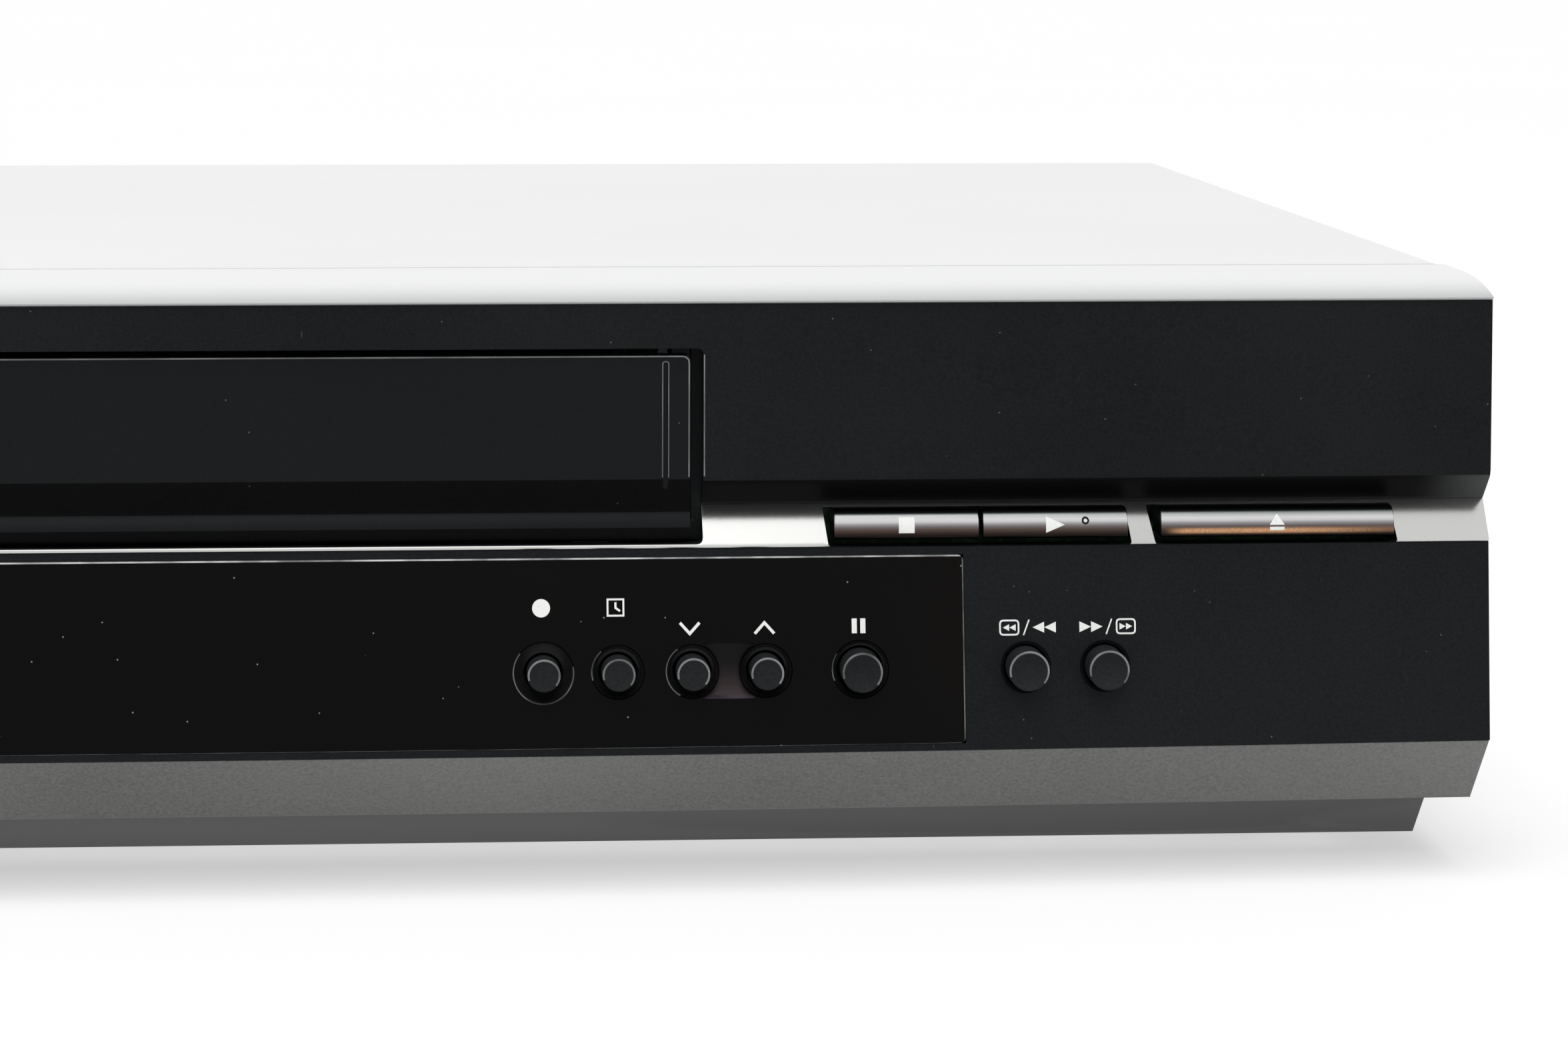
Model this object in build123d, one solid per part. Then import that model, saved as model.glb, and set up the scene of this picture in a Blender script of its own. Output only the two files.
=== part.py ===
from build123d import *
import math
import os

# A full-width video cassette recorder. X runs to the viewer's right, the front faces -Y, +Z is up.
# The origin is under the middle of the whole object, at the level that its feet stand on.
# A "height" is counted from the case's underside, and a "depth" from the ends of its upper face.

# ---------------------------------------------------------------- driving sizes
overall_width = 430.0
overall_depth = 286.0
body_height = 85.0
feet_height = 4.0
socket_reach = 9.5

# The cassette that the machine takes.
cassette_width = 187.0
cassette_height = 25.0

# Sheets and walls.
cover_gauge = 0.8
panel_gauge = 1.0
front_wall = 2.8
side_wall = 2.6
shell_wall = 2.2
frame_wall = 2.6
floor_height = 1.0
floor_top = 3.4

# Gaps and fits, and how far a cut runs past the surface that it opens.
seam_gap = 0.3
button_gap = 0.35
running_gap = 0.3
fit_gap = 0.4
shaft_clearance = 0.05
past = 1.0

# The front, from the top: crown, upper face, groove, silver strip, lower panel, chin, plinth.
crown_drop = 2.7
crown_depth = 25.0
trim_depth = 0.7
groove_top_height = 56.7
groove_height = 52.6
groove_depth = 4.2
strip_height = 46.9
strip_depth = 0.5
lip_height = 17.5
lip_reach = 2.5
chin_height = 6.8
chin_depth = 7.9
plinth_depth = 15.5
plinth_inset = 6.8
plinth_setback = 0.7
seam_depth = 30.0
# How far the middle of the front stands forward of its ends at each of those levels.
upper_bow = 1.0
strip_bow = 1.3
lip_bow = 5.3
chin_bow = 4.2
plinth_bow = 0.3

# The cassette door, its opening and its pins.
door_side_reach = 3.7
door_side_gap = 1.8
door_top_gap = 1.0
door_foot_gap = 0.4
door_crease_rise = 3.8
door_front_depth = 0.6
door_gauge = 2.2
rim_height = 6.5
strip_line = 0.3
pivot_depth = 5.6
pivot_rise = 2.0
pivot_radius = 1.3
ear_width = 2.6
ear_eye_radius = 2.0
boss_width = 3.4

# The smoked window in the lower panel.
window_half_width = 137.0
window_foot_rise = 1.0
window_top_drop = 1.5
window_gauge = 1.6
window_edge = 3.0
display_half_width = 66.0

# Bar buttons in the strip, and round buttons in the lower panel.
stop_left = 118.1
stop_right = 139.3
play_left = 139.9
play_right = 161.2
eject_left = 166.1
eject_right = 200.6
bar_foot_rise = 0.8
bar_top_drop = 0.9
bar_front_depth = -0.9
button_row_height = 29.2
record_x = 75.6
timer_x = 86.4
channel_down_x = 97.2
channel_up_x = 107.9
pause_x = 121.7
rewind_x = 146.0
forward_x = 157.7
small_cap_radius = 2.4
large_cap_radius = 2.95
record_dish_radius = 4.45
small_dish_radius = 3.3
pause_dish_radius = 4.3
large_dish_radius = 3.75
dish_depth = 0.7
small_cap_front = -7.0
large_cap_front = -6.9
press_travel = 0.8
press_spare = 0.2

# Boards and their switches.
board_gauge = 1.6
board_height = 8.0
board_inset = 4.2
board_back_gap = 3.7
front_board_depth = 10.5
switch_depth = 8.7
plunger_depth = 8.2

# The tape deck: plate, reels, idler, capstan, pinch and tension arms, posts, cam, drum.
deck_front_depth = 30.0
deck_height = 15.0
deck_gauge = 1.6
reel_x = 46.5
reel_depth = 102.0
reel_radius = 20.0
spindle_radius = 4.4
idler_depth = 110.0
idler_reach = 16.0
idler_radius = 12.0
clutch_radius = 14.0
capstan_x = 60.0
capstan_depth = 166.0
capstan_radius = 1.5
capstan_pulley_radius = 9.0
flywheel_radius = 24.0
belt_gauge = 1.2
pinch_pivot_x = 84.0
pinch_pivot_depth = 184.0
pinch_arm_length = 27.0
pinch_rest_angle = 271.4
pinch_roller_radius = 6.0
tension_x = -84.0
tension_depth = 170.0
post_start_x = 26.0
post_start_depth = 150.0
post_end_x = 42.0
post_end_depth = 206.0
cam_x = -70.0
cam_depth = 212.0
cam_radius = 16.0
drum_depth = 196.0
drum_radius = 31.0
drum_tilt = 6.0

# The cassette carriage: holder, sliders, sync shaft and brackets.
holder_gauge = 1.5
holder_sheet = 1.0
holder_side_gap = 1.4
holder_headroom = 0.8
holder_foot_drop = 0.7
holder_depth = 50.5
holder_drop = 25.8
door_sweep_gap = 1.7
carriage_travel = 72.0
slider_gauge = 1.5
carriage_pin_radius = 1.5
carriage_pin_rise = 14.0
carriage_pin_insets = (7.5, 8.0)
slot_gap = 0.08
pinion_teeth = 24
gear_module = 1.0
gear_slack = 0.3
rack_spare = 18.0
sync_shaft_radius = 2.5
bracket_gauge = 1.6
bracket_flange = 11.3

# Where things pass the rear panel.
scart_places = (-44.0, 20.0)
scart_height = 22.0
jack_places = (62.0, 78.0)
jack_height = 20.0
aerial_places = (134.0, 158.0)
aerial_height = 25.0
inlet_side_inset = 37.0
inlet_height = 22.0

# ---------------------------------------------------------------- worked-out places
half_width = overall_width / 2
face_y = -overall_depth / 2 + lip_reach + lip_bow
rear_y = overall_depth / 2 - socket_reach
frame_half = half_width - plinth_inset
frame_back = rear_y - panel_gauge
cover_inner = half_width - cover_gauge
trim_height = body_height - crown_drop
opening_top_height = trim_height - rim_height
opening_foot_height = strip_height + strip_line
door_half_width = cassette_width / 2 + door_side_reach
opening_half_width = door_half_width + door_side_gap
door_top_height = opening_top_height - door_top_gap
door_foot_height = opening_foot_height + door_foot_gap
door_crease_height = door_foot_height + door_crease_rise
pivot_height = opening_top_height + pivot_rise
window_foot_height = lip_height + window_foot_rise
window_top_height = strip_height - window_top_drop
bar_foot_height = strip_height + bar_foot_rise
bar_top_height = groove_height - bar_top_drop
board_top = board_height + board_gauge
deck_foot = deck_height - deck_gauge


def at(depth):
    """Y of a point that lies this far behind the upper face's ends."""
    return face_y + depth


def up(height):
    """Z of a point that lies this far over the case's underside."""
    return feet_height + height


def block(x, y, z):
    size = Box(x[1] - x[0], y[1] - y[0], z[1] - z[0])
    return Pos((x[0] + x[1]) / 2, (y[0] + y[1]) / 2, (z[0] + z[1]) / 2) * size


def around(middle, half):
    return (middle - half, middle + half)


def rod_x(y, z, x, radius):
    return Pos((x[0] + x[1]) / 2, y, z) * Rot(0, 90, 0) * Cylinder(radius, x[1] - x[0])


def rod_y(x, z, y, radius):
    return Pos(x, (y[0] + y[1]) / 2, z) * Rot(90, 0, 0) * Cylinder(radius, y[1] - y[0])


def rod_z(x, y, z, radius):
    return Pos(x, y, (z[0] + z[1]) / 2) * Cylinder(radius, z[1] - z[0])


def prism_x(points, x):
    """A solid with this outline of (y, z) points between two X values."""
    outline = make_face(Polyline([(x[0], y, z) for y, z in points], close=True))
    return extrude(outline, amount=x[1] - x[0], dir=(1, 0, 0))


def mirrored(shape):
    return mirror(shape, about=Plane.YZ)


def on_side(side, inner, outer):
    """An X span between two distances from the middle, on the left (-1) or the right (1)."""
    return tuple(sorted((side * inner, side * outer)))


def save(name, *shapes):
    """Write one node; several separate solids may share it."""
    flat = [solid for shape in shapes for solid in shape.solids()]
    export_step(flat[0] if len(flat) == 1 else Compound(flat), f"parts/{name}.step")


def bowed_face(height, depth, bow, reach, back):
    """Plan of the case at one level: straight back and sides, a front that bows forward."""
    z = up(height)
    y = at(depth)
    front = ThreePointArc((-reach, y, z), (0, y - bow, z), (reach, y, z))
    rest = Polyline((reach, y, z), (reach, back, z), (-reach, back, z), (-reach, y, z))
    return make_face([front, rest])


def bowed_solid(levels, reach, back):
    """A solid through several levels, each (height, depth, bow), with straight sides between."""
    faces = [bowed_face(height, depth, bow, reach, back) for height, depth, bow in levels]
    solid = loft([faces[0], faces[1]], ruled=True)
    for lower, upper in zip(faces[1:-1], faces[2:]):
        solid += loft([lower, upper], ruled=True)
    return solid


def deeper(shape, distance):
    return Pos(0, distance, 0) * shape


os.makedirs("parts", exist_ok=True)
full_x = (-half_width, half_width)
any_y = (-overall_depth, overall_depth)

# ---------------------------------------------------------------- front panel, strip and window
front_back = at(seam_depth)
front_outer = bowed_solid([
    (lip_height, -lip_reach, lip_bow),
    (strip_height, strip_depth, strip_bow),
    (groove_height, groove_depth, upper_bow),
    (groove_top_height, 0.0, upper_bow),
    (trim_height, trim_depth, upper_bow),
], half_width, front_back)
front_inner_x = around(0, half_width - side_wall)
front_inner_z = (up(lip_height + shell_wall), up(trim_height - shell_wall))
front_panel = front_outer - (deeper(front_outer, front_wall) & block(front_inner_x, any_y, front_inner_z))
front_panel -= block(front_inner_x, (front_back - past, front_back + front_wall + past), front_inner_z)
# The lower wall is short, so that the front board can stand behind it.
lower_wall_depth = 8.5
lower_wall_z = (up(lip_height - past), front_inner_z[0] + past)
front_panel -= block(front_inner_x, (at(lower_wall_depth), front_back + past), lower_wall_z)
# A ledge behind the seam carries the cover's front edge.
cover_z = (up(body_height - cover_gauge), up(body_height))
ledge_x = around(0, cover_inner - side_wall)
ledge_end = front_back + 6.0
front_panel += block(ledge_x, (front_back - 3.0, ledge_end), (front_inner_z[1], up(trim_height)))
front_panel += block(ledge_x, (front_back + seam_gap, ledge_end), (up(trim_height), cover_z[0]))

# The door's opening goes through the groove and the strip too.
well_in_front = at(-20.0)
corner_radius = 1.0
opening = block(
    around(0, opening_half_width), (well_in_front, front_back + past),
    (up(opening_foot_height), up(opening_top_height)))
opening = fillet(opening.edges().filter_by(Axis.Y), corner_radius)
front_panel -= opening

# The silver strip lies in a seat on the groove's lower slope.
strip_gauge = 1.2
strip_levels = [(strip_height, strip_depth, strip_bow), (groove_height, groove_depth, upper_bow)]
strip_band = bowed_solid(strip_levels, half_width, front_back)
strip_trim = strip_band - deeper(strip_band, strip_gauge)
front_panel -= strip_trim
strip_trim -= opening

# The smoked window and its seat; behind the display the seat is open.
window_z = (up(window_foot_height), up(window_top_height))
window_zone = block(around(0, window_half_width), (well_in_front, at(5.0)), window_z)
window_zone = fillet(window_zone.edges().filter_by(Axis.Y), corner_radius)
display_window = (front_outer - deeper(front_outer, window_gauge)) & window_zone
front_panel -= display_window
front_panel -= block(
    around(0, display_half_width), (well_in_front, at(seam_depth - 5.0)),
    (window_z[0] + window_edge, window_z[1] - window_edge))

# Bosses behind the top rim carry the door's pins.
boss_x = (door_half_width + running_gap, door_half_width + running_gap + boss_width)
boss_y = (at(front_wall - upper_bow), at(pivot_depth + 3.5))
boss_z = (up(opening_top_height) + 0.2, front_inner_z[1])
door_boss = block(boss_x, boss_y, boss_z)
door_boss -= rod_x(
    at(pivot_depth), up(pivot_height), (boss_x[0] - past, boss_x[1] + past), pivot_radius + shaft_clearance)
front_panel += door_boss + mirrored(door_boss)

# ---------------------------------------------------------------- buttons
# Every stem ends this far from its switch's plunger, so that a full press just leaves it free.
stem_end = at(plunger_depth - press_travel - press_spare)
well_back = at(seam_depth - 10.0)
bar_neck_depth = 6.0
bar_round = ((3.4, 0.0), (1.2, 0.1), (0.0, 0.9), (bar_front_depth, 2.2))
bar_foot_chamfer = 0.3
stem_half = 3.0


def bar_button(left, right):
    """A bar in the strip: rounded top edge, a neck through the panel and a stem to its switch."""
    top = up(bar_top_height)
    foot = up(bar_foot_height)
    profile = [(at(depth), top - drop) for depth, drop in bar_round]
    profile += [
        (at(bar_front_depth), foot + bar_foot_chamfer), (at(bar_front_depth) + bar_foot_chamfer, foot),
        (at(bar_neck_depth), foot), (at(bar_neck_depth), top),
    ]
    stem_y = (at(bar_round[0][0]), stem_end)
    stem = block(around((left + right) / 2, stem_half), stem_y, (foot + 1.0, top - 0.6))
    return prism_x(profile, (left, right)) + stem


def bar_opening(left, right):
    return block(
        (left - button_gap, right + button_gap), (at(-6.0), well_back),
        (up(bar_foot_height) - running_gap, up(bar_top_height) + button_gap))


bar_places = {
    "stop_button": (stop_left, stop_right),
    "play_button": (play_left, play_right),
    "eject_button": (eject_left, eject_right),
    "power_button": (-eject_right, -eject_left),
}
for left, right in ((stop_left, play_right), (eject_left, eject_right), (-eject_right, -eject_left)):
    front_panel -= bar_opening(left, right)
    strip_trim -= bar_opening(left, right)
for name, (left, right) in bar_places.items():
    save(name, bar_button(left, right))

round_places = {
    "record_button": (record_x, small_cap_radius, record_dish_radius, small_cap_front),
    "timer_button": (timer_x, small_cap_radius, small_dish_radius, small_cap_front),
    "channel_down_button": (channel_down_x, small_cap_radius, small_dish_radius, small_cap_front),
    "channel_up_button": (channel_up_x, small_cap_radius, small_dish_radius, small_cap_front),
    "pause_button": (pause_x, large_cap_radius, pause_dish_radius, large_cap_front),
    "rewind_button": (rewind_x, large_cap_radius, large_dish_radius, large_cap_front),
    "forward_button": (forward_x, large_cap_radius, large_dish_radius, large_cap_front),
}
row_z = up(button_row_height)
collar_depth = 2.4
collar_gauge = 1.0
collar_width = 1.0
cap_round = 0.5
stem_radius = 1.6


def panel_depth(x, height):
    """How deep the lower panel's surface lies at this place; negative is forward."""
    share = (strip_height - height) / (strip_height - lip_height)
    end_depth = strip_depth - share * (lip_reach + strip_depth)
    bow = strip_bow + share * (lip_bow - strip_bow)
    return end_depth - bow * (1 - (x / half_width) ** 2)


def round_button(x, radius, front):
    """A cap on a neck, with a collar behind the panel and a stem to its switch."""
    cap = rod_y(x, row_z, (at(front), at(collar_depth)), radius)
    cap = fillet(cap.edges().filter_by(GeomType.CIRCLE).sort_by(Axis.Y)[0], cap_round)
    collar = rod_y(x, row_z, (at(collar_depth), at(collar_depth + collar_gauge)), radius + collar_width)
    return cap + collar + rod_y(x, row_z, (at(collar_depth), stem_end), stem_radius)


for name, (x, radius, dish, front) in round_places.items():
    hole = rod_y(x, row_z, (well_in_front, well_back), radius + button_gap)
    dish_floor = at(panel_depth(x, button_row_height) + dish_depth)
    recess = rod_y(x, row_z, (well_in_front, dish_floor), dish)
    front_panel = front_panel - hole - recess
    if x < window_half_width:
        display_window = display_window - hole - recess
    save(name, round_button(x, radius, front))

# Three signal jacks for a camera, low on the left.
jack_pitch = 17.0
front_jack_x = [-half_width + 28.0 + jack_pitch * index for index in range(3)]
jack_barrel_radius = 4.15
for x in front_jack_x:
    front_panel -= rod_y(x, row_z, (well_in_front, well_back), jack_barrel_radius + button_gap)
save("front_panel", front_panel)
save("strip_trim", strip_trim)
save("display_window", display_window)

# ---------------------------------------------------------------- cassette door
door_back = door_front_depth + door_gauge
door_edge_round = 0.4
swell_depth = door_front_depth - 0.7
door_plate = prism_x([
    (at(door_front_depth + door_edge_round), up(door_top_height)),
    (at(door_front_depth), up(door_top_height - door_edge_round)),
    (at(door_front_depth), up(door_crease_height)),
    (at(swell_depth), up(door_crease_height - 2.0)),
    (at(swell_depth), up(door_foot_height + 0.6)),
    (at(door_front_depth), up(door_foot_height)),
    (at(door_back), up(door_foot_height)),
    (at(door_back), up(door_top_height)),
], around(0, door_half_width))
# A fine slot runs down the door near its right edge.
door_slot_half = 0.35
door_slot_y = (at(swell_depth - past), at(door_front_depth + 0.3))
door_slot_z = (up(door_foot_height + 8.0), up(door_top_height - 0.8))
door_plate -= block(around(door_half_width - door_side_reach, door_slot_half), door_slot_y, door_slot_z)
ear_x = (door_half_width - ear_width, door_half_width)
ear_front = front_wall + running_gap
ear_back = pivot_depth + ear_eye_radius
ear = prism_x([
    (at(door_back - 0.5), up(pivot_height - 12.0)), (at(ear_front), up(pivot_height)),
    (at(ear_back), up(pivot_height)), (at(pivot_depth - 0.6), up(pivot_height - 8.0)),
], ear_x)
ear += rod_x(at(pivot_depth), up(pivot_height), ear_x, ear_eye_radius)
ear -= block(ear_x, (at(-5.0), at(ear_front)), (up(door_top_height), up(body_height)))
# The right pin is longer, for the spring that is wound round it.
spring_seat = 3.6
right_pin_x = (ear_x[0], boss_x[1] + spring_seat)
left_pin_x = (-boss_x[1], -ear_x[0])
cassette_door = door_plate + ear + mirrored(ear)
for pin_x in (right_pin_x, left_pin_x):
    cassette_door += rod_x(at(pivot_depth), up(pivot_height), pin_x, pivot_radius)
save("cassette_door", cassette_door)

spring_wire = 0.45
spring_turns = 3
spring_pitch = 0.95
spring_gap = 0.35
helix = Helix(spring_pitch, spring_pitch * spring_turns, pivot_radius + spring_gap + spring_wire / 2)
coil = sweep(Plane(helix @ 0, z_dir=helix % 0) * Circle(spring_wire / 2), helix)
door_spring = Pos(boss_x[1] + spring_gap, at(pivot_depth), up(pivot_height)) * Rot(0, 90, 0) * coil
save("door_spring", door_spring)
print("door spring: least gap between turns", round(spring_pitch - spring_wire, 2), "mm")

# ---------------------------------------------------------------- top trim, lower trim
crown_radius = ((crown_depth - trim_depth) ** 2 + crown_drop ** 2) / (2 * crown_drop)
crown_x = around(0, half_width + past)
crown = rod_x(at(crown_depth), up(body_height) - crown_radius, crown_x, crown_radius)
crown_zone = block(crown_x, (at(-5.0), at(crown_depth)), (up(trim_height), up(body_height)))
trim_plan = bowed_solid(
    [(trim_height, trim_depth, upper_bow), (body_height, trim_depth, upper_bow)], half_width, front_back)
top_trim = trim_plan - (crown_zone - crown)
trim_notch_x = 100.0
trim_notch_half = 1.7
trim_notch_depth = 0.6
for side in (-1, 1):
    top_trim -= block(
        around(side * trim_notch_x, trim_notch_half), (front_back - trim_notch_depth, front_back + past),
        (cover_z[0], cover_z[1] + past))
save("top_trim", top_trim)

chin_outer = bowed_solid(
    [(chin_height, chin_depth, chin_bow), (lip_height, -lip_reach, lip_bow)], half_width, front_back)
chin_wall = shell_wall + 0.4
chin_shelf_depth = chin_depth + 2.0
chin_inner_z = (up(chin_height + shell_wall), up(lip_height))
lower_trim = chin_outer - (deeper(chin_outer, chin_wall) & block(front_inner_x, any_y, chin_inner_z))
lower_trim -= block(
    front_inner_x, (at(chin_shelf_depth), front_back + chin_wall + past),
    (up(chin_height - past), up(lip_height + past)))
save("lower_trim", lower_trim)

# ---------------------------------------------------------------- main frame, bottom plate, feet
frame_wall_top = 20.0
rear_wall_top = 12.0
frame_outer = bowed_solid(
    [(0.0, plinth_depth, plinth_bow), (chin_height, chin_depth + plinth_setback, chin_bow)],
    frame_half, frame_back)
main_frame = frame_outer - (deeper(frame_outer, frame_wall) & block(
    around(0, frame_half - frame_wall), (at(0), frame_back - frame_wall), (up(floor_top), up(chin_height))))
plate_inset = 8.0
plate_x = around(0, frame_half - plate_inset)
plate_y = (at(24.0), frame_back - plate_inset)
main_frame -= block(
    (plate_x[0] - fit_gap, plate_x[1] + fit_gap), (plate_y[0] - fit_gap, plate_y[1] + fit_gap),
    (up(0), up(floor_height)))
# The side walls carry a flange for the cover's foot, and bosses for its screws.
wall_y = (at(seam_depth + past), frame_back)
flange_z = (up(7.4), up(9.0))
screw_depths = (90.0, 220.0)
screw_height = 15.2
screw_boss_radius = 3.4
screw_bite_radius = 1.45
screw_hole_radius = 1.6
dimple_sink = 1.8
for side in (-1, 1):
    main_frame += block(
        on_side(side, frame_half - frame_wall, frame_half), wall_y, (up(chin_height), up(frame_wall_top)))
    main_frame += block(on_side(side, frame_half - 0.5, cover_inner - running_gap), wall_y, flange_z)
    boss_span = on_side(side, frame_half - 0.5, cover_inner - dimple_sink)
    bite_span = on_side(side, frame_half - 8.2, half_width + past)
    for depth in screw_depths:
        main_frame += rod_x(at(depth), up(screw_height), boss_span, screw_boss_radius)
        main_frame -= rod_x(at(depth), up(screw_height), bite_span, screw_bite_radius)
main_frame += block(
    around(0, frame_half), (frame_back - frame_wall, frame_back), (up(chin_height - 0.5), up(rear_wall_top)))

# Posts under the deck plate and under the boards.
bracket_depths = (34.0, 228.0)
deck_back_depth = bracket_depths[1] + 4.0
slider_side_gap = 0.4
holder_half_width = cassette_width / 2 + holder_side_gap + holder_gauge
slider_x = (holder_half_width + slider_side_gap, holder_half_width + slider_side_gap + slider_gauge)
bracket_inner = slider_x[1] + slider_side_gap
deck_half_width = bracket_inner + bracket_flange + 2.0
board_edge = frame_half - board_inset
board_back = frame_back - board_back_gap
board_side_gap = 4.0
main_board_front = at(34.0)
power_board_front = at(60.0)
post_radius = 4.0
post_inset = 6.0
post_foot = up(floor_top - 0.5)
for x in (-deck_half_width + post_inset, deck_half_width - post_inset):
    for depth in (deck_front_depth + 8.0, deck_back_depth - post_inset):
        main_frame += rod_z(x, at(depth), (post_foot, up(deck_foot)), post_radius)
side_post_x = (deck_half_width + board_side_gap + post_inset, board_edge - post_inset)
back_post_y = board_back - 10.0
board_posts = [(-x, y) for x in side_post_x for y in (power_board_front + post_inset, back_post_y)]
board_posts += [(x, y) for x in side_post_x for y in (main_board_front + 8.0, back_post_y)]
board_posts += [(x, board_back - 13.0) for x in (-90.0, 20.0)]
for x, y in board_posts:
    main_frame += rod_z(x, y, (post_foot, up(board_height)), post_radius)
# Four ribs hold the front board.
rib_half = 1.5
rib_y = (at(front_board_depth + board_gauge), at(front_board_depth + board_gauge + 9.0))
for x in (-150.0, -110.0, 110.0, 150.0):
    main_frame += block(around(x, rib_half), rib_y, (post_foot, up(24.0)))

bottom_plate = block(plate_x, plate_y, (up(floor_height - cover_gauge), up(floor_height)))
vent_start_x = 126.0
vent_pitch = 8.0
vent_half = 1.2
vent_y = (at(180.0), at(225.0))
floor_cut = (up(-past), up(floor_top + past))
for side in (-1, 1):
    for index in range(6):
        vent = block(around(side * (vent_start_x + vent_pitch * index), vent_half), vent_y, floor_cut)
        main_frame -= vent
        bottom_plate -= vent
plate_screw_x = 150.0
plate_screws = [(side * plate_screw_x, y) for side in (-1, 1) for y in (plate_y[0] + 16.0, plate_y[1] - 13.7)]
for x, y in plate_screws:
    hole = rod_z(x, y, floor_cut, screw_hole_radius)
    main_frame -= hole
    bottom_plate -= hole
save("main_frame", main_frame)
save("bottom_plate", bottom_plate)

foot_radius = 9.5
foot_draft = 1.5
foot_hollow_radius = 4.5
foot_hollow = 1.2
foot_x = frame_half - 24.2
foot_top = up(floor_height - cover_gauge)
feet = []
for x in (-foot_x, foot_x):
    for y in (plate_y[0] + 18.0, plate_y[1] - 17.7):
        cone = Rot(180, 0, 0) * Cone(foot_radius, foot_radius - foot_draft, foot_top)
        feet.append(Pos(x, y, foot_top / 2) * cone - rod_z(x, y, (-past, foot_hollow), foot_hollow_radius))
save("feet", *feet)

# ---------------------------------------------------------------- rear panel and what passes it
through_y = (rear_y - 30.0, rear_y + 2.0)
inlet_x = -half_width + inlet_side_inset
scart_half = (26.0, 9.0)
inlet_half = (14.0, 9.0)
jack_collar_radius = 5.2
aerial_nut_radius = 6.0
rear_screw_x = (-half_width + 29.0, 0.0, half_width - 29.0)
rear_screw_height = body_height - 4.2


def panel_cutout(x, height, half):
    return block(
        around(x, half[0] + fit_gap), through_y, around(up(height), half[1] + fit_gap))


rear_panel = block(
    around(0, cover_inner - running_gap), (frame_back, rear_y), (up(3.0), cover_z[0] - running_gap))
for x in scart_places:
    rear_panel -= panel_cutout(x, scart_height, scart_half)
rear_panel -= panel_cutout(inlet_x, inlet_height, inlet_half)
for x in jack_places:
    rear_panel -= rod_y(x, up(jack_height), through_y, jack_collar_radius + fit_gap)
for x in aerial_places:
    rear_panel -= rod_y(x, up(aerial_height), through_y, aerial_nut_radius + fit_gap)
for x in rear_screw_x:
    rear_panel -= rod_y(x, up(rear_screw_height), through_y, screw_hole_radius)
louvre_half = 1.2
louvre_pitch = 7.0
for side in (-1, 1):
    for index in range(10):
        x = side * (100.0 + louvre_pitch * index)
        rear_panel -= block(around(x, louvre_half), through_y, (up(52.0), up(70.0)))
save("rear_panel", rear_panel)

# ---------------------------------------------------------------- top cover
cover_bend = 1.6
cover_foot = up(7.0)
cover_y = (front_back + seam_gap, rear_y + cover_gauge)
rear_lip_height = body_height - 8.0
cover_outer = block(full_x, cover_y, (cover_foot, up(body_height)))
cover_outer = fillet(cover_outer.edges().filter_by(Axis.Y).group_by(Axis.Z)[-1], cover_bend)
cover_hollow = block(around(0, cover_inner), (cover_y[0] - past, rear_y), (cover_foot - past, cover_z[0]))
cover_hollow = fillet(cover_hollow.edges().filter_by(Axis.Y).group_by(Axis.Z)[-1], cover_bend - cover_gauge)
top_cover = cover_outer - cover_hollow
below_lip = (cover_foot - past, up(rear_lip_height))
top_cover -= block(around(0, cover_inner - 6.0), (rear_y - past, cover_y[1] + past), below_lip)
for x in rear_screw_x:
    top_cover -= rod_y(x, up(rear_screw_height), through_y, screw_hole_radius)
# Each side screw sits in a pressed dimple, whose back just clears its boss.
dimple_radius = 5.5
dimple_back = cover_inner - dimple_sink + 0.01
dimple_seat = cover_inner - dimple_sink + cover_gauge
for side in (-1, 1):
    for depth in screw_depths:
        y = at(depth)
        z = up(screw_height)
        top_cover += rod_x(y, z, on_side(side, dimple_back, cover_inner + 0.2), dimple_radius)
        top_cover -= rod_x(y, z, on_side(side, dimple_seat, half_width + past), dimple_radius - cover_gauge)
        top_cover -= rod_x(y, z, on_side(side, dimple_back - past, half_width + past), screw_hole_radius)
for index in range(8):
    y = at(150.0 + louvre_pitch * index)
    top_cover -= block(around(0, half_width + past), around(y, louvre_half), (up(40.0), up(62.0)))
save("top_cover", top_cover)

# ---------------------------------------------------------------- case screws
shank_radius = 1.4
head_radius = 3.0
head_gauge = 1.5
side_head_gauge = 1.2
case_screws = []
for x in rear_screw_x:
    z = up(rear_screw_height)
    shank = rod_y(x, z, (cover_y[1] - 7.8, cover_y[1]), shank_radius)
    case_screws.append(shank + rod_y(x, z, (cover_y[1], cover_y[1] + head_gauge), head_radius))
for side in (-1, 1):
    for depth in screw_depths:
        y = at(depth)
        z = up(screw_height)
        shank = rod_x(y, z, on_side(side, dimple_seat - 6.5, dimple_seat), shank_radius)
        head = rod_x(y, z, on_side(side, dimple_seat, dimple_seat + side_head_gauge), head_radius)
        case_screws.append(shank + head)
for x, y in plate_screws:
    shank = rod_z(x, y, (foot_top, foot_top + 4.0), shank_radius)
    case_screws.append(shank + rod_z(x, y, (foot_top - head_gauge, foot_top), head_radius))
save("case_screws", *case_screws)

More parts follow.
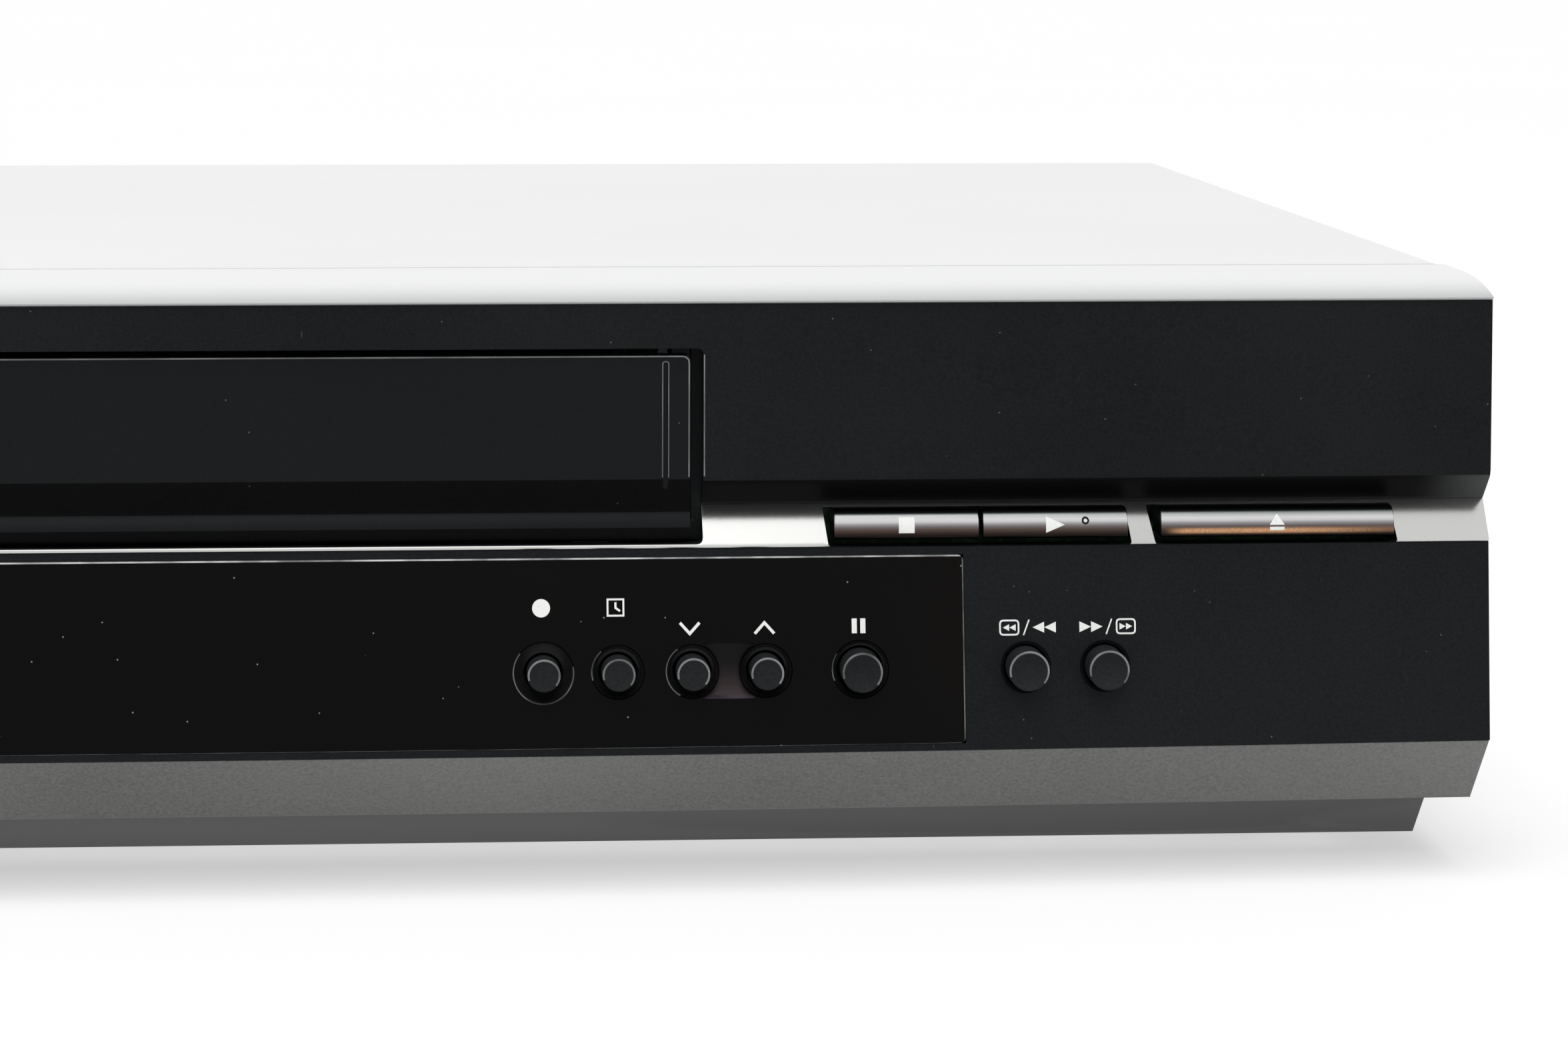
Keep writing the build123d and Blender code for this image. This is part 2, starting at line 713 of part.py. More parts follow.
# ---------------------------------------------------------------- front board and what it carries
board_y = (at(front_board_depth), at(front_board_depth + board_gauge))
front_board_z = (up(8.4), up(45.0))
wing_top = up(54.0)
wing_inner = 106.0
front_board = block(around(0, board_edge), board_y, front_board_z)
for side in (-1, 1):
    front_board += block(on_side(side, wing_inner, board_edge), board_y, (front_board_z[1] - past, wing_top))
switch_half = 3.0
plunger_radius = 1.5
bar_height = (bar_foot_height + bar_top_height) / 2
switch_places = [(x, button_row_height) for x, radius, dish, front in round_places.values()]
switch_places += [((left + right) / 2, bar_height) for left, right in bar_places.values()]
switches = []
for x, height in switch_places:
    body = block(around(x, switch_half), (at(switch_depth), board_y[0]), around(up(height), switch_half))
    switches.append(body + rod_y(x, up(height), (at(plunger_depth), at(switch_depth)), plunger_radius))
save("front_board", front_board, *switches)

tube_half_width = 50.0
tube_y = (at(3.2), at(8.0))
tube_z = (up(22.0), up(42.0))
tube_lead_pitch = 11.0
display_tube = block(around(0, tube_half_width), tube_y, tube_z)
display_tube = fillet(display_tube.edges().filter_by(Axis.Y), corner_radius)
tube_lead_half = 0.5
tube_lead_y = (tube_y[1] - tube_lead_half, board_y[0])
tube_lead_z = around(tube_z[0] + 1.1, tube_lead_half)
for index in range(-4, 5):
    display_tube += block(around(tube_lead_pitch * index, tube_lead_half), tube_lead_y, tube_lead_z)
save("display_tube", display_tube)
receiver_x = -60.0
receiver_height = 32.0
receiver_front = at(4.6)
lens_radius = 2.2
receiver = block(around(receiver_x, 4.0), (receiver_front, board_y[0]), around(up(receiver_height), 4.0))
receiver += Pos(receiver_x, receiver_front, up(receiver_height)) * Sphere(lens_radius)
save("infrared_receiver", receiver)

jack_bore_radius = 1.7
jack_body_half = 6.5
jack_mouth_depth = 0.4
front_jacks = []
for x in front_jack_x:
    mouth = at(panel_depth(x, button_row_height) + jack_mouth_depth)
    jack = rod_y(x, row_z, (mouth, board_y[0]), jack_barrel_radius)
    jack += block(around(x, jack_body_half), (tube_y[0], board_y[0]), around(row_z, jack_body_half))
    front_jacks.append(jack - rod_y(x, row_z, (well_in_front, board_y[0] - 1.5), jack_bore_radius))
save("front_jacks", *front_jacks)

# ---------------------------------------------------------------- sockets at the rear
socket_body = 18.0
leg_y = (rear_y - socket_body, rear_y - 6.0)
socket_foot = up(rear_wall_top + 0.6)
socket_front = rear_y + 1.2
leg_inset = 2.0


def socket_body_block(x, half, height, depth):
    """A moulded socket that stands on the board by a narrower leg."""
    body = block(around(x, half[0]), (rear_y - depth, socket_front), (socket_foot, up(height + half[1])))
    return body + block(around(x, half[0] - leg_inset), leg_y, (up(board_top), socket_foot + 0.4))


scart_mouth_half = (23.0, 4.6)
scart_mouth_depth = 11.0
scarts = []
for x in scart_places:
    mouth = block(
        around(x, scart_mouth_half[0]), (socket_front - scart_mouth_depth, socket_front + past),
        around(up(scart_height), scart_mouth_half[1]))
    scarts.append(socket_body_block(x, scart_half, scart_height, socket_body) - mouth)
save("scart_sockets", *scarts)

jack_barrel_reach = 8.4
rear_jacks = []
for x in jack_places:
    z = up(jack_height)
    body_z = (socket_foot, z + jack_body_half)
    jack = block(around(x, jack_body_half), (leg_y[0], frame_back - fit_gap), body_z)
    jack += block(around(x, jack_body_half - 0.5), leg_y, (up(board_top), socket_foot))
    jack += rod_y(x, z, (frame_back - past, rear_y + 0.8), jack_collar_radius)
    jack += rod_y(x, z, (rear_y, rear_y + jack_barrel_reach), jack_barrel_radius)
    rear_jacks.append(jack - rod_y(x, z, (rear_y - 3.0, rear_y + jack_barrel_reach + past), jack_bore_radius))
save("rear_jacks", *rear_jacks)

tuner_wall = 0.8
tuner_x = (124.0, 168.0)
tuner_y = (frame_back - 61.7, frame_back - 5.7)
tuner_z = (up(board_top), up(36.0))
tuner_can = block(tuner_x, tuner_y, tuner_z)
tuner_can -= block(
    (tuner_x[0] + tuner_wall, tuner_x[1] - tuner_wall), (tuner_y[0] + tuner_wall, tuner_y[1] - tuner_wall),
    (tuner_z[0] + tuner_wall, tuner_z[1] - tuner_wall))
for index in range(4):
    x = tuner_x[0] + 8.0 + 9.5 * index
    tuner_can -= rod_z(x, tuner_y[0] + 12.0, (tuner_z[1] - 2.0, tuner_z[1] + past), 2.0)
save("tuner_can", tuner_can)
aerial_barrel_radius = 4.8
plug_bore_radius = 3.9
aerial_pin_radius = 1.15
socket_bore_radius = 1.2
aerial_end = rear_y + socket_reach
aerial_sockets = []
for x, bore in zip(aerial_places, (plug_bore_radius, socket_bore_radius)):
    z = up(aerial_height)
    socket = rod_y(x, z, (tuner_y[1], aerial_end), aerial_barrel_radius)
    socket += rod_y(x, z, (tuner_y[1], rear_y + 1.0), aerial_nut_radius)
    socket -= rod_y(x, z, (rear_y - 1.0, aerial_end + past), bore)
    if bore == plug_bore_radius:
        socket += rod_y(x, z, (rear_y - 2.0, aerial_end - 0.6), aerial_pin_radius)
    aerial_sockets.append(socket)
save("aerial_sockets", *aerial_sockets)

# A two-pin inlet in a well with round ends.
inlet_pin_x = 4.3
inlet_pin_radius = 1.2
inlet_well_y = (socket_front - 14.0, socket_front + past)
inlet_well = block(around(inlet_x, inlet_pin_x), inlet_well_y, around(up(inlet_height), 4.0))
inlet_pin_y = (inlet_well_y[0] - past, socket_front - 2.0)
inlet_body_depth = 20.0
inlet_ends = (inlet_x - inlet_pin_x, inlet_x + inlet_pin_x)
for x in inlet_ends:
    inlet_well += rod_y(x, up(inlet_height), inlet_well_y, 4.4)
inlet = socket_body_block(inlet_x, inlet_half, inlet_height, inlet_body_depth) - inlet_well
for x in inlet_ends:
    inlet += rod_y(x, up(inlet_height), inlet_pin_y, inlet_pin_radius)
save("mains_inlet", inlet)

# ---------------------------------------------------------------- boards in the case
board_z = (up(board_height), up(board_top))
board_inner = deck_half_width + board_side_gap
on_board = board_z[1]
main_board = block((board_inner, board_edge), (main_board_front, board_back), board_z)
main_board += block((-98.0, board_inner + past), (board_back - 27.0, board_back), board_z)
chip_side = 22.0
chip_z = (on_board, on_board + 3.0)
chip_depths = (62.0, 106.0, 150.0)
chips = [block((134.0, 134.0 + chip_side), (at(y), at(y + chip_side)), chip_z) for y in chip_depths]
capacitors = [
    rod_z(board_edge - 18.0, at(58.0 + 20.0 * index), (on_board, on_board + 12.0), 4.0) for index in range(8)]
save("main_board", main_board, *chips, *capacitors)

power_board = block((-board_edge, -board_inner), (power_board_front, board_back), board_z)
transformer_x = -162.0
transformer_y = at(137.0)
transformer = block(around(transformer_x, 22.0), around(transformer_y, 9.0), (on_board, up(46.0)))
transformer += block(around(transformer_x, 14.0), around(transformer_y, 19.0), (on_board + 5.0, up(40.0)))
sink_x = (-134.0, -131.0)
sink_z = (on_board, up(48.0))
fin_pitch = 6.6
heat_sink = block(sink_x, (at(110.0), at(170.0)), sink_z)
for index in range(9):
    fin_y = at(112.0 + fin_pitch * index)
    heat_sink += block((sink_x[1] - 0.5, sink_x[1] + 10.0), (fin_y, fin_y + 1.6), sink_z)
reservoir = rod_z(-184.0, at(96.0), (on_board, up(44.0)), 11.0)
smoothing = [rod_z(-150.0 + 15.0 * index, at(96.0), (on_board, up(30.0)), 5.0) for index in range(2)]
save("power_board", power_board, transformer, heat_sink, reservoir, *smoothing)

# ---------------------------------------------------------------- deck plate
deck_top = up(deck_height)
deck_z = (up(deck_foot), deck_top)
deck_cut = (deck_z[0] - past, deck_top + past)
over_deck = deck_top + running_gap
in_deck = deck_top - 0.5
post_travel = math.hypot(post_end_x - post_start_x, post_end_depth - post_start_depth)
post_pin_radius = 2.0
deck_plate = block(around(0, deck_half_width), (at(deck_front_depth), at(deck_back_depth)), deck_z)
deck_plate -= block(around(0, 20.0), (at(deck_front_depth - past), at(60.0)), deck_cut)
slot_angle = math.degrees(math.atan2(post_end_depth - post_start_depth, post_end_x - post_start_x))
slot = SlotCenterToCenter(post_travel, 2 * (post_pin_radius + shaft_clearance))
slot_place = Pos((post_start_x + post_end_x) / 2, at((post_start_depth + post_end_depth) / 2), deck_top)
guide_slot = slot_place * Rot(0, 0, slot_angle) * extrude(slot, amount=10.0, both=True)
deck_plate = deck_plate - guide_slot - mirrored(guide_slot)
bearing_top = up(23.0)
spindle_post_radius = 2.0
spindle_post_top = up(30.0)
clutch_shaft_radius = 2.0
arm_post_radius = 2.5
cam_post_radius = 3.0
deck_plate += rod_z(capstan_x, at(capstan_depth), (deck_z[0], bearing_top), 5.0)
deck_plate -= rod_z(
    capstan_x, at(capstan_depth), (deck_cut[0], bearing_top + past), capstan_radius + shaft_clearance)
for x in (-reel_x, reel_x):
    deck_plate += rod_z(x, at(reel_depth), (in_deck, spindle_post_top), spindle_post_radius)
deck_plate -= rod_z(0, at(idler_depth), deck_cut, clutch_shaft_radius + shaft_clearance)
deck_plate += rod_z(pinch_pivot_x, at(pinch_pivot_depth), (in_deck, up(27.0)), arm_post_radius)
deck_plate += rod_z(tension_x, at(tension_depth), (in_deck, up(25.0)), arm_post_radius)
deck_plate += rod_z(cam_x, at(cam_depth), (in_deck, up(23.0)), cam_post_radius)
save("deck_plate", deck_plate)

# ---------------------------------------------------------------- reels, idler, clutch, capstan, belt
rim_z = (up(17.1), up(20.1))
reel_hub_radius = 6.0
spindle_top = up(34.0)
spline_half = 0.8


def reel(x):
    """A reel table: hub, rim, and a spindle with three splines, on a post of the deck."""
    y = at(reel_depth)
    body = rod_z(x, y, (over_deck, rim_z[0]), reel_hub_radius)
    body += rod_z(x, y, rim_z, reel_radius)
    body += rod_z(x, y, (rim_z[1], spindle_top), spindle_radius)
    spline_x = (spindle_radius - 0.5, spindle_radius + 1.6)
    for angle in (0, 120, 240):
        spline = block(spline_x, around(0, spline_half), (rim_z[1], spindle_top - 3.0))
        body += Pos(x, y, 0) * Rot(0, 0, angle) * spline
    return body - rod_z(x, y, (deck_top, spindle_post_top + 0.6), spindle_post_radius + shaft_clearance)


save("supply_reel", reel(-reel_x))
save("takeup_reel", reel(reel_x))

pulley_z = (up(6.5), up(10.5))
clutch_pulley = rod_z(0, at(idler_depth), pulley_z, clutch_radius)
clutch_pulley += rod_z(0, at(idler_depth), (pulley_z[0], up(21.0)), clutch_shaft_radius)
clutch_pulley += rod_z(0, at(idler_depth), rim_z, idler_reach - idler_radius - running_gap)
save("clutch_pulley", clutch_pulley)

idler_pin_radius = 1.2
idler_y = at(idler_depth - idler_reach)
arm_z = (over_deck, rim_z[0] - running_gap)
idler_arm = rod_z(0, at(idler_depth), arm_z, 4.5)
idler_arm += block(around(0, 3.0), (idler_y, at(idler_depth)), arm_z)
idler_arm += rod_z(0, idler_y, arm_z, 3.0)
idler_arm -= rod_z(0, at(idler_depth), (deck_top, arm_z[1] + past), clutch_shaft_radius + shaft_clearance)
idler_arm += rod_z(0, idler_y, (arm_z[0], rim_z[1] + 1.1), idler_pin_radius)
save("idler_arm", idler_arm)
idler_wheel = rod_z(0, idler_y, rim_z, idler_radius)
idler_wheel -= rod_z(0, idler_y, (rim_z[0] - past, rim_z[1] + past), idler_pin_radius + shaft_clearance)
save("idler_wheel", idler_wheel)

capstan_pulley_top = up(10.8)
capstan = rod_z(capstan_x, at(capstan_depth), (up(floor_top + 0.8), up(47.0)), capstan_radius)
capstan += rod_z(capstan_x, at(capstan_depth), (capstan_pulley_top, up(12.9)), flywheel_radius)
capstan += rod_z(capstan_x, at(capstan_depth), (pulley_z[0], capstan_pulley_top), capstan_pulley_radius)
save("capstan", capstan)

belt_height = 2.0


def belt_outline(extra):
    """Plan of a loop round both pulleys, this far out from their rims."""
    pulleys = Pos(0, at(idler_depth)) * Circle(clutch_radius + extra)
    pulleys += Pos(capstan_x, at(capstan_depth)) * Circle(capstan_pulley_radius + extra)
    return make_hull(pulleys.edges())


belt_plan = belt_outline(running_gap + belt_gauge) - belt_outline(running_gap)
save("drive_belt", Pos(0, 0, pulley_z[0] + 1.0) * extrude(belt_plan, amount=belt_height))

# ---------------------------------------------------------------- pinch arm and roller, tension arm
pinch_angle = math.radians(pinch_rest_angle)
pinch_x = pinch_pivot_x + pinch_arm_length * math.cos(pinch_angle)
pinch_depth = pinch_pivot_depth + pinch_arm_length * math.sin(pinch_angle)
pinch_pin_radius = 1.5
pinch_plate_z = (up(24.0), up(26.0))
pinch_top = up(44.0)


def arm_plate(start, end, reach, z):
    """A flat arm with round ends, between two (x, depth) points."""
    length = math.hypot(end[0] - start[0], end[1] - start[1])
    angle = math.degrees(math.atan2(end[1] - start[1], end[0] - start[0]))
    flat = extrude(SlotCenterToCenter(length, 2 * reach), amount=z[1] - z[0])
    return Pos((start[0] + end[0]) / 2, at((start[1] + end[1]) / 2), z[0]) * Rot(0, 0, angle) * flat


def hub_on_post(x, depth, top, radius):
    """An arm's hub, from just over the deck to the arm's top, and the bore for its post."""
    hub = rod_z(x, at(depth), (over_deck, top), radius)
    return hub, rod_z(x, at(depth), (deck_top, top + past), arm_post_radius + shaft_clearance)


pinch_hub, pinch_bore = hub_on_post(pinch_pivot_x, pinch_pivot_depth, pinch_plate_z[1], 4.8)
pinch_arm = arm_plate((pinch_pivot_x, pinch_pivot_depth), (pinch_x, pinch_depth), 4.0, pinch_plate_z)
pinch_arm = pinch_arm + pinch_hub - pinch_bore
pinch_arm += rod_z(pinch_x, at(pinch_depth), (pinch_plate_z[0], pinch_top), pinch_pin_radius)
save("pinch_arm", pinch_arm)
roller_z = (pinch_plate_z[1] + running_gap, pinch_top - 1.0)
pinch_roller = rod_z(pinch_x, at(pinch_depth), roller_z, pinch_roller_radius)
pinch_roller -= rod_z(
    pinch_x, at(pinch_depth), (pinch_plate_z[1], pinch_top), pinch_pin_radius + shaft_clearance)
save("pinch_roller", pinch_roller)

tension_pin = (tension_x + 18.0, tension_depth - 18.0)
tension_plate_z = (up(22.0), up(23.5))
post_top = up(42.0)
tension_hub, tension_bore = hub_on_post(tension_x, tension_depth, tension_plate_z[1], 4.5)
tension_arm = arm_plate((tension_x, tension_depth), tension_pin, 3.0, tension_plate_z)
tension_arm = tension_arm + tension_hub - tension_bore
tension_arm += rod_z(tension_pin[0], at(tension_pin[1]), (tension_plate_z[0], post_top), 1.5)
save("tension_arm", tension_arm)


# ---------------------------------------------------------------- loading posts, heads, cam gear, motor
def loading_post(side):
    """A tape guide on a sled, whose pin runs in the deck's slot."""
    x = side * post_start_x
    y = at(post_start_depth)
    sled_top = up(19.0)
    post = rod_z(x, y, (deck_z[0] - 0.8, sled_top), post_pin_radius)
    post += rod_z(x, y, (over_deck, sled_top), 5.5)
    return post + rod_z(x, y, (sled_top, post_top), 3.0)


save("supply_post", loading_post(-1))
save("takeup_post", loading_post(1))
head_z = (deck_top, up(40.0))
save("erase_head", block((-63.0, -53.0), (at(172.0), at(180.0)), head_z))
save("sound_head", block((46.0, 54.0), (at(178.0), at(186.0)), head_z))

pressure_angle = math.radians(20.0)
root_share = 1.25


def gear_points(teeth, module, slack):
    """Outline of an involute gear with a tooth along +X, its teeth thinned by the slack."""
    pitch = teeth * module / 2
    base = pitch * math.cos(pressure_angle)
    root = pitch - root_share * module
    tip = pitch + module
    half_tooth = (math.pi * module / 2 - slack) / 2 / pitch
    spread = math.tan(pressure_angle) - pressure_angle

    def flank(radius):
        pressure = math.acos(min(1.0, base / radius))
        return half_tooth + spread - (math.tan(pressure) - pressure)

    radii = [base, (base + pitch) / 2, pitch, (pitch + tip) / 2, tip]
    side = [(root, flank(base))] + [(radius, flank(radius)) for radius in radii]
    points = []
    for tooth in range(teeth):
        middle = 2 * math.pi * tooth / teeth
        rising = [(radius, middle - angle) for radius, angle in side]
        falling = [(radius, middle + angle) for radius, angle in reversed(side)]
        points += [(radius * math.cos(angle), radius * math.sin(angle)) for radius, angle in rising + falling]
    return points


cam_teeth = 40
cam_groove_z = (up(18.0), up(20.0))
cam_groove_offset = 2.0
cam_top = up(22.0)
cam_face = make_face(Polyline(gear_points(cam_teeth, 2 * cam_radius / cam_teeth, gear_slack), close=True))
cam_gear = Pos(cam_x, at(cam_depth), over_deck) * extrude(cam_face, amount=3.6)
cam_gear += rod_z(cam_x, at(cam_depth), (over_deck, cam_top), 6.0)
cam_groove = rod_z(cam_x + cam_groove_offset, at(cam_depth), cam_groove_z, 11.0)
cam_groove -= rod_z(cam_x + cam_groove_offset, at(cam_depth), cam_groove_z, 9.0)
cam_gear -= cam_groove
cam_gear -= rod_z(cam_x, at(cam_depth), (deck_top, cam_top + past), cam_post_radius + shaft_clearance)
save("cam_gear", cam_gear)
motor_x = -40.0
motor_y = at(222.5)
motor_top = up(45.0)
loading_motor = rod_z(motor_x, motor_y, (deck_top, motor_top), 9.8)
loading_motor += rod_z(motor_x, motor_y, (motor_top, motor_top + 7.0), 1.0)
loading_motor += rod_z(motor_x, motor_y, (motor_top, motor_top + 1.2), 3.0)
save("loading_motor", loading_motor)

# ---------------------------------------------------------------- head drum, leaning by its tilt
drum_place = Pos(0, at(drum_depth), deck_top) * Rot(0, -drum_tilt, 0)
drum_shaft_radius = 3.0
drum_press_gap = 0.02
lower_drum_z = (4.5, 20.0)
tape_step_z = (4.0, 5.6)
tape_step = 1.4
upper_drum_z = (lower_drum_z[1] + running_gap, 32.0)
rotor_top = 36.0
rotor_radius = 18.0
lower_drum = drum_place * rod_z(0, 0, lower_drum_z, drum_radius)
lower_drum += rod_z(0, at(drum_depth), (deck_top, deck_top + 9.0), 12.0)
lower_drum -= drum_place * rod_z(0, 0, (2.0, lower_drum_z[1] + past), drum_shaft_radius + shaft_clearance)
tape_ledge = rod_z(0, 0, tape_step_z, drum_radius + past) - rod_z(0, 0, tape_step_z, drum_radius - tape_step)
lower_drum -= drum_place * tape_ledge
save("lower_drum", lower_drum)
upper_drum = rod_z(0, 0, upper_drum_z, drum_radius)
upper_drum -= rod_z(0, 0, (lower_drum_z[1], upper_drum_z[1] + past), drum_shaft_radius + drum_press_gap)
head_window_z = (lower_drum_z[1], upper_drum_z[0] + 2.0)
head_window = block((drum_radius - 1.2, drum_radius + past), around(0, 2.5), head_window_z)
for angle in range(0, 360, 60):
    upper_drum -= Rot(0, 0, angle) * head_window
save("upper_drum", drum_place * upper_drum)
drum_rotor = rod_z(0, 0, (2.6, rotor_top), drum_shaft_radius)
drum_rotor += rod_z(0, 0, (upper_drum_z[1], rotor_top), rotor_radius)
rotor_hole = rod_z(rotor_radius * 2 / 3, 0, (upper_drum_z[1] - past, rotor_top + past), 2.6)
for angle in range(0, 360, 60):
    drum_rotor -= Rot(0, 0, angle) * rotor_hole
save("drum_rotor", drum_place * drum_rotor)

# ---------------------------------------------------------------- cassette carriage
# The holder starts just behind the door's sweep, slides back, and then drops onto the reels.
holder_front_depth = pivot_depth + pivot_height - door_foot_height + door_sweep_gap
holder_back_depth = holder_front_depth + holder_depth
holder_foot_height = opening_foot_height - holder_foot_drop
holder_top_height = holder_foot_height + cassette_height + holder_headroom + 2 * holder_sheet
carriage_pin_height = holder_foot_height + carriage_pin_rise
pin_places = [at(holder_front_depth + carriage_pin_insets[0]), at(holder_back_depth - carriage_pin_insets[1])]
slider_back_depth = holder_back_depth - 2.0
slider_y = (at(holder_front_depth + 2.5), at(slider_back_depth))
slider_z = (up(carriage_pin_height - holder_drop - 4.7), up(carriage_pin_height + 4.0))
pinion_depth = slider_back_depth + carriage_travel + rack_spare
pinion_height = carriage_pin_height + 5.5
rack_height = up(pinion_height) - pinion_teeth * gear_module / 2
rack_root = rack_height - root_share * gear_module
rack_tip = rack_height + gear_module
rack_bar = 6.75
rack_end = at(pinion_depth) + 8.0
tooth_pitch = math.pi * gear_module
rack_teeth = math.ceil((carriage_travel + 16.0) / tooth_pitch)
tooth_half = (tooth_pitch / 2 - gear_slack) / 2
tooth_flare = math.tan(pressure_angle)
slot_reach = carriage_pin_radius + slot_gap


def rack_tooth(middle):
    foot = tooth_half + tooth_flare * root_share * gear_module
    tip = tooth_half - tooth_flare * gear_module
    buried = rack_root - 0.2
    return prism_x([
        (middle - foot, buried), (middle - foot, rack_root), (middle - tip, rack_tip),
        (middle + tip, rack_tip), (middle + foot, rack_root), (middle + foot, buried)], slider_x)


def slider():
    """The carriage's side plate: two open slots for the holder's pins, and a rack behind."""
    plate = block(slider_x, slider_y, slider_z)
    slot_x = (slider_x[0] - past, slider_x[1] + past)
    slot_z = (up(carriage_pin_height - holder_drop) - slot_reach, up(carriage_pin_height) + slot_reach)
    for y in pin_places:
        plate -= block(slot_x, around(y, slot_reach), slot_z)
    plate += block(slider_x, (slider_y[1] - past, rack_end), (rack_root - rack_bar, rack_root))
    last = at(pinion_depth) + 2.5 * tooth_pitch
    for index in range(rack_teeth):
        plate += rack_tooth(last - tooth_pitch * index)
    return plate


right_slider = slider()
save("holder_sliders", right_slider, mirrored(right_slider))

# The outline's first tooth points down, into the rack's gap under the shaft.
pinion_x = (slider_x[0] - 0.2, slider_x[1] + 0.1)
pinion_face = make_face(Polyline(gear_points(pinion_teeth, gear_module, gear_slack), close=True))
pinion_flat = extrude(pinion_face, amount=pinion_x[1] - pinion_x[0])
pinion = Pos(pinion_x[0], at(pinion_depth), up(pinion_height)) * Rot(0, 90, 0) * pinion_flat
sync_shaft_half = bracket_inner + bracket_gauge + 1.7
sync_shaft = rod_x(at(pinion_depth), up(pinion_height), around(0, sync_shaft_half), sync_shaft_radius)
save("sync_shaft", sync_shaft + pinion + mirrored(pinion))

holder_y = (at(holder_front_depth), at(holder_back_depth))
holder_z = (up(holder_foot_height), up(holder_top_height))
ledge_width = 11.0
stop_height = 9.5
stop_width = 5.2
window_margins = (14.0, 12.0)
holder = block(around(0, holder_half_width), holder_y, (holder_z[1] - holder_sheet, holder_z[1]))
holder -= block(
    around(0, 60.0), (holder_y[0] + window_margins[0], holder_y[1] - window_margins[1]),
    (holder_z[1] - holder_sheet - past, holder_z[1] + past))
for side in (-1, 1):
    inner = holder_half_width - holder_gauge
    holder += block(on_side(side, inner, holder_half_width), holder_y, holder_z)
    holder += block(
        on_side(side, holder_half_width - ledge_width, holder_half_width), holder_y,
        (holder_z[0], holder_z[0] + holder_sheet))
    holder += block(
        on_side(side, holder_half_width - stop_width, holder_half_width),
        (holder_y[1] - holder_gauge, holder_y[1]), (holder_z[0], holder_z[0] + stop_height))
    for y in pin_places:
        pin_x = on_side(side, holder_half_width - 0.5, slider_x[1] - 0.1)
        holder += rod_x(y, up(carriage_pin_height), pin_x, carriage_pin_radius)
save("cassette_holder", holder)

bracket_x = (bracket_inner, bracket_inner + bracket_gauge)
bracket_cut_x = (bracket_x[0] - past, bracket_x[1] + past)
bracket_y = (at(bracket_depths[0]), at(bracket_depths[1]))
bracket = block(bracket_x, bracket_y, (deck_top, up(body_height - 6.0)))
bracket_foot_x = (bracket_inner, bracket_inner + bracket_flange)
bracket += block(bracket_foot_x, bracket_y, (deck_top, deck_top + bracket_gauge))
rail_x = (slider_x[0], bracket_x[1])
rail_y = (slider_y[0] - 4.0, slider_y[1] + carriage_travel + 3.0)
rail_gauge = 1.8
upper_rail = slider_z[1] + running_gap
lower_rail = slider_z[0] - running_gap
bracket += block(rail_x, rail_y, (upper_rail, upper_rail + rail_gauge))
bracket += block(rail_x, rail_y, (lower_rail - rail_gauge, lower_rail))
bracket -= rod_x(at(pinion_depth), up(pinion_height), bracket_cut_x, sync_shaft_radius + shaft_clearance)
# Windows save weight; the one at the back lies behind the shaft's bearing.
for depth in (60.0, 110.0):
    bracket -= block(bracket_cut_x, (at(depth), at(depth + 34.0)), (up(34.0), up(60.0)))
bracket -= block(bracket_cut_x, (at(pinion_depth + 16.0), bracket_y[1] - 6.0), (up(22.0), up(70.0)))
save("right_bracket", bracket)
save("left_bracket", mirrored(bracket))
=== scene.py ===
import bmesh
import bpy
import math
from mathutils import Matrix, Vector


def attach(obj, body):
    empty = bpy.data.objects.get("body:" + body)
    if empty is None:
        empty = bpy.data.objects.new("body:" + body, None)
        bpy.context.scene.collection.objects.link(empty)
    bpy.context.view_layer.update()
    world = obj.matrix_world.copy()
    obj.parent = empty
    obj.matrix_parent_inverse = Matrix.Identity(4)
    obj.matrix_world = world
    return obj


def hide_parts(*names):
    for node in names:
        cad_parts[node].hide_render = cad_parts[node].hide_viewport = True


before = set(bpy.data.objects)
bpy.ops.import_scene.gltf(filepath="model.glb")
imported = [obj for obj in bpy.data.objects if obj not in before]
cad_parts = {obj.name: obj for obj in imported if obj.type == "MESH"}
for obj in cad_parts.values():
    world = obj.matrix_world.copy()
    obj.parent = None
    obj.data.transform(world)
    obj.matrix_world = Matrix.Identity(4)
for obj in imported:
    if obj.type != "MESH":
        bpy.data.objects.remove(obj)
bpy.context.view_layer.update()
scene = bpy.context.scene
scene.view_settings.view_transform = "Standard"

# ---- camera
# The photograph was taken from 60 cm in front of the machine and a little over it, with the
# machine's right half in the frame, so the lens looks past the middle of the picture.
camera = bpy.data.objects.new("camera", bpy.data.cameras.new("camera"))
scene.collection.objects.link(camera)
scene.camera = camera
camera.data.lens = camera.data.sensor_width * 6471.5 / 2352
camera.data.shift_x, camera.data.shift_y = 0.1, -0.164
camera.data.clip_start = 0.01
pitch, yaw, roll = (math.radians(angle) for angle in (5.065, 3.487, 0.096))
looks = Vector((math.sin(yaw) * math.cos(pitch), math.cos(yaw) * math.cos(pitch), -math.sin(pitch)))
side = Vector((math.cos(yaw), -math.sin(yaw), 0))
over = side.cross(looks)
turned = Matrix((
    math.cos(roll) * side + math.sin(roll) * over, -math.sin(roll) * side + math.cos(roll) * over, -looks))
camera.matrix_world = Matrix.Translation((0.05014, -0.75479, 0.14690)) @ turned.transposed().to_4x4()


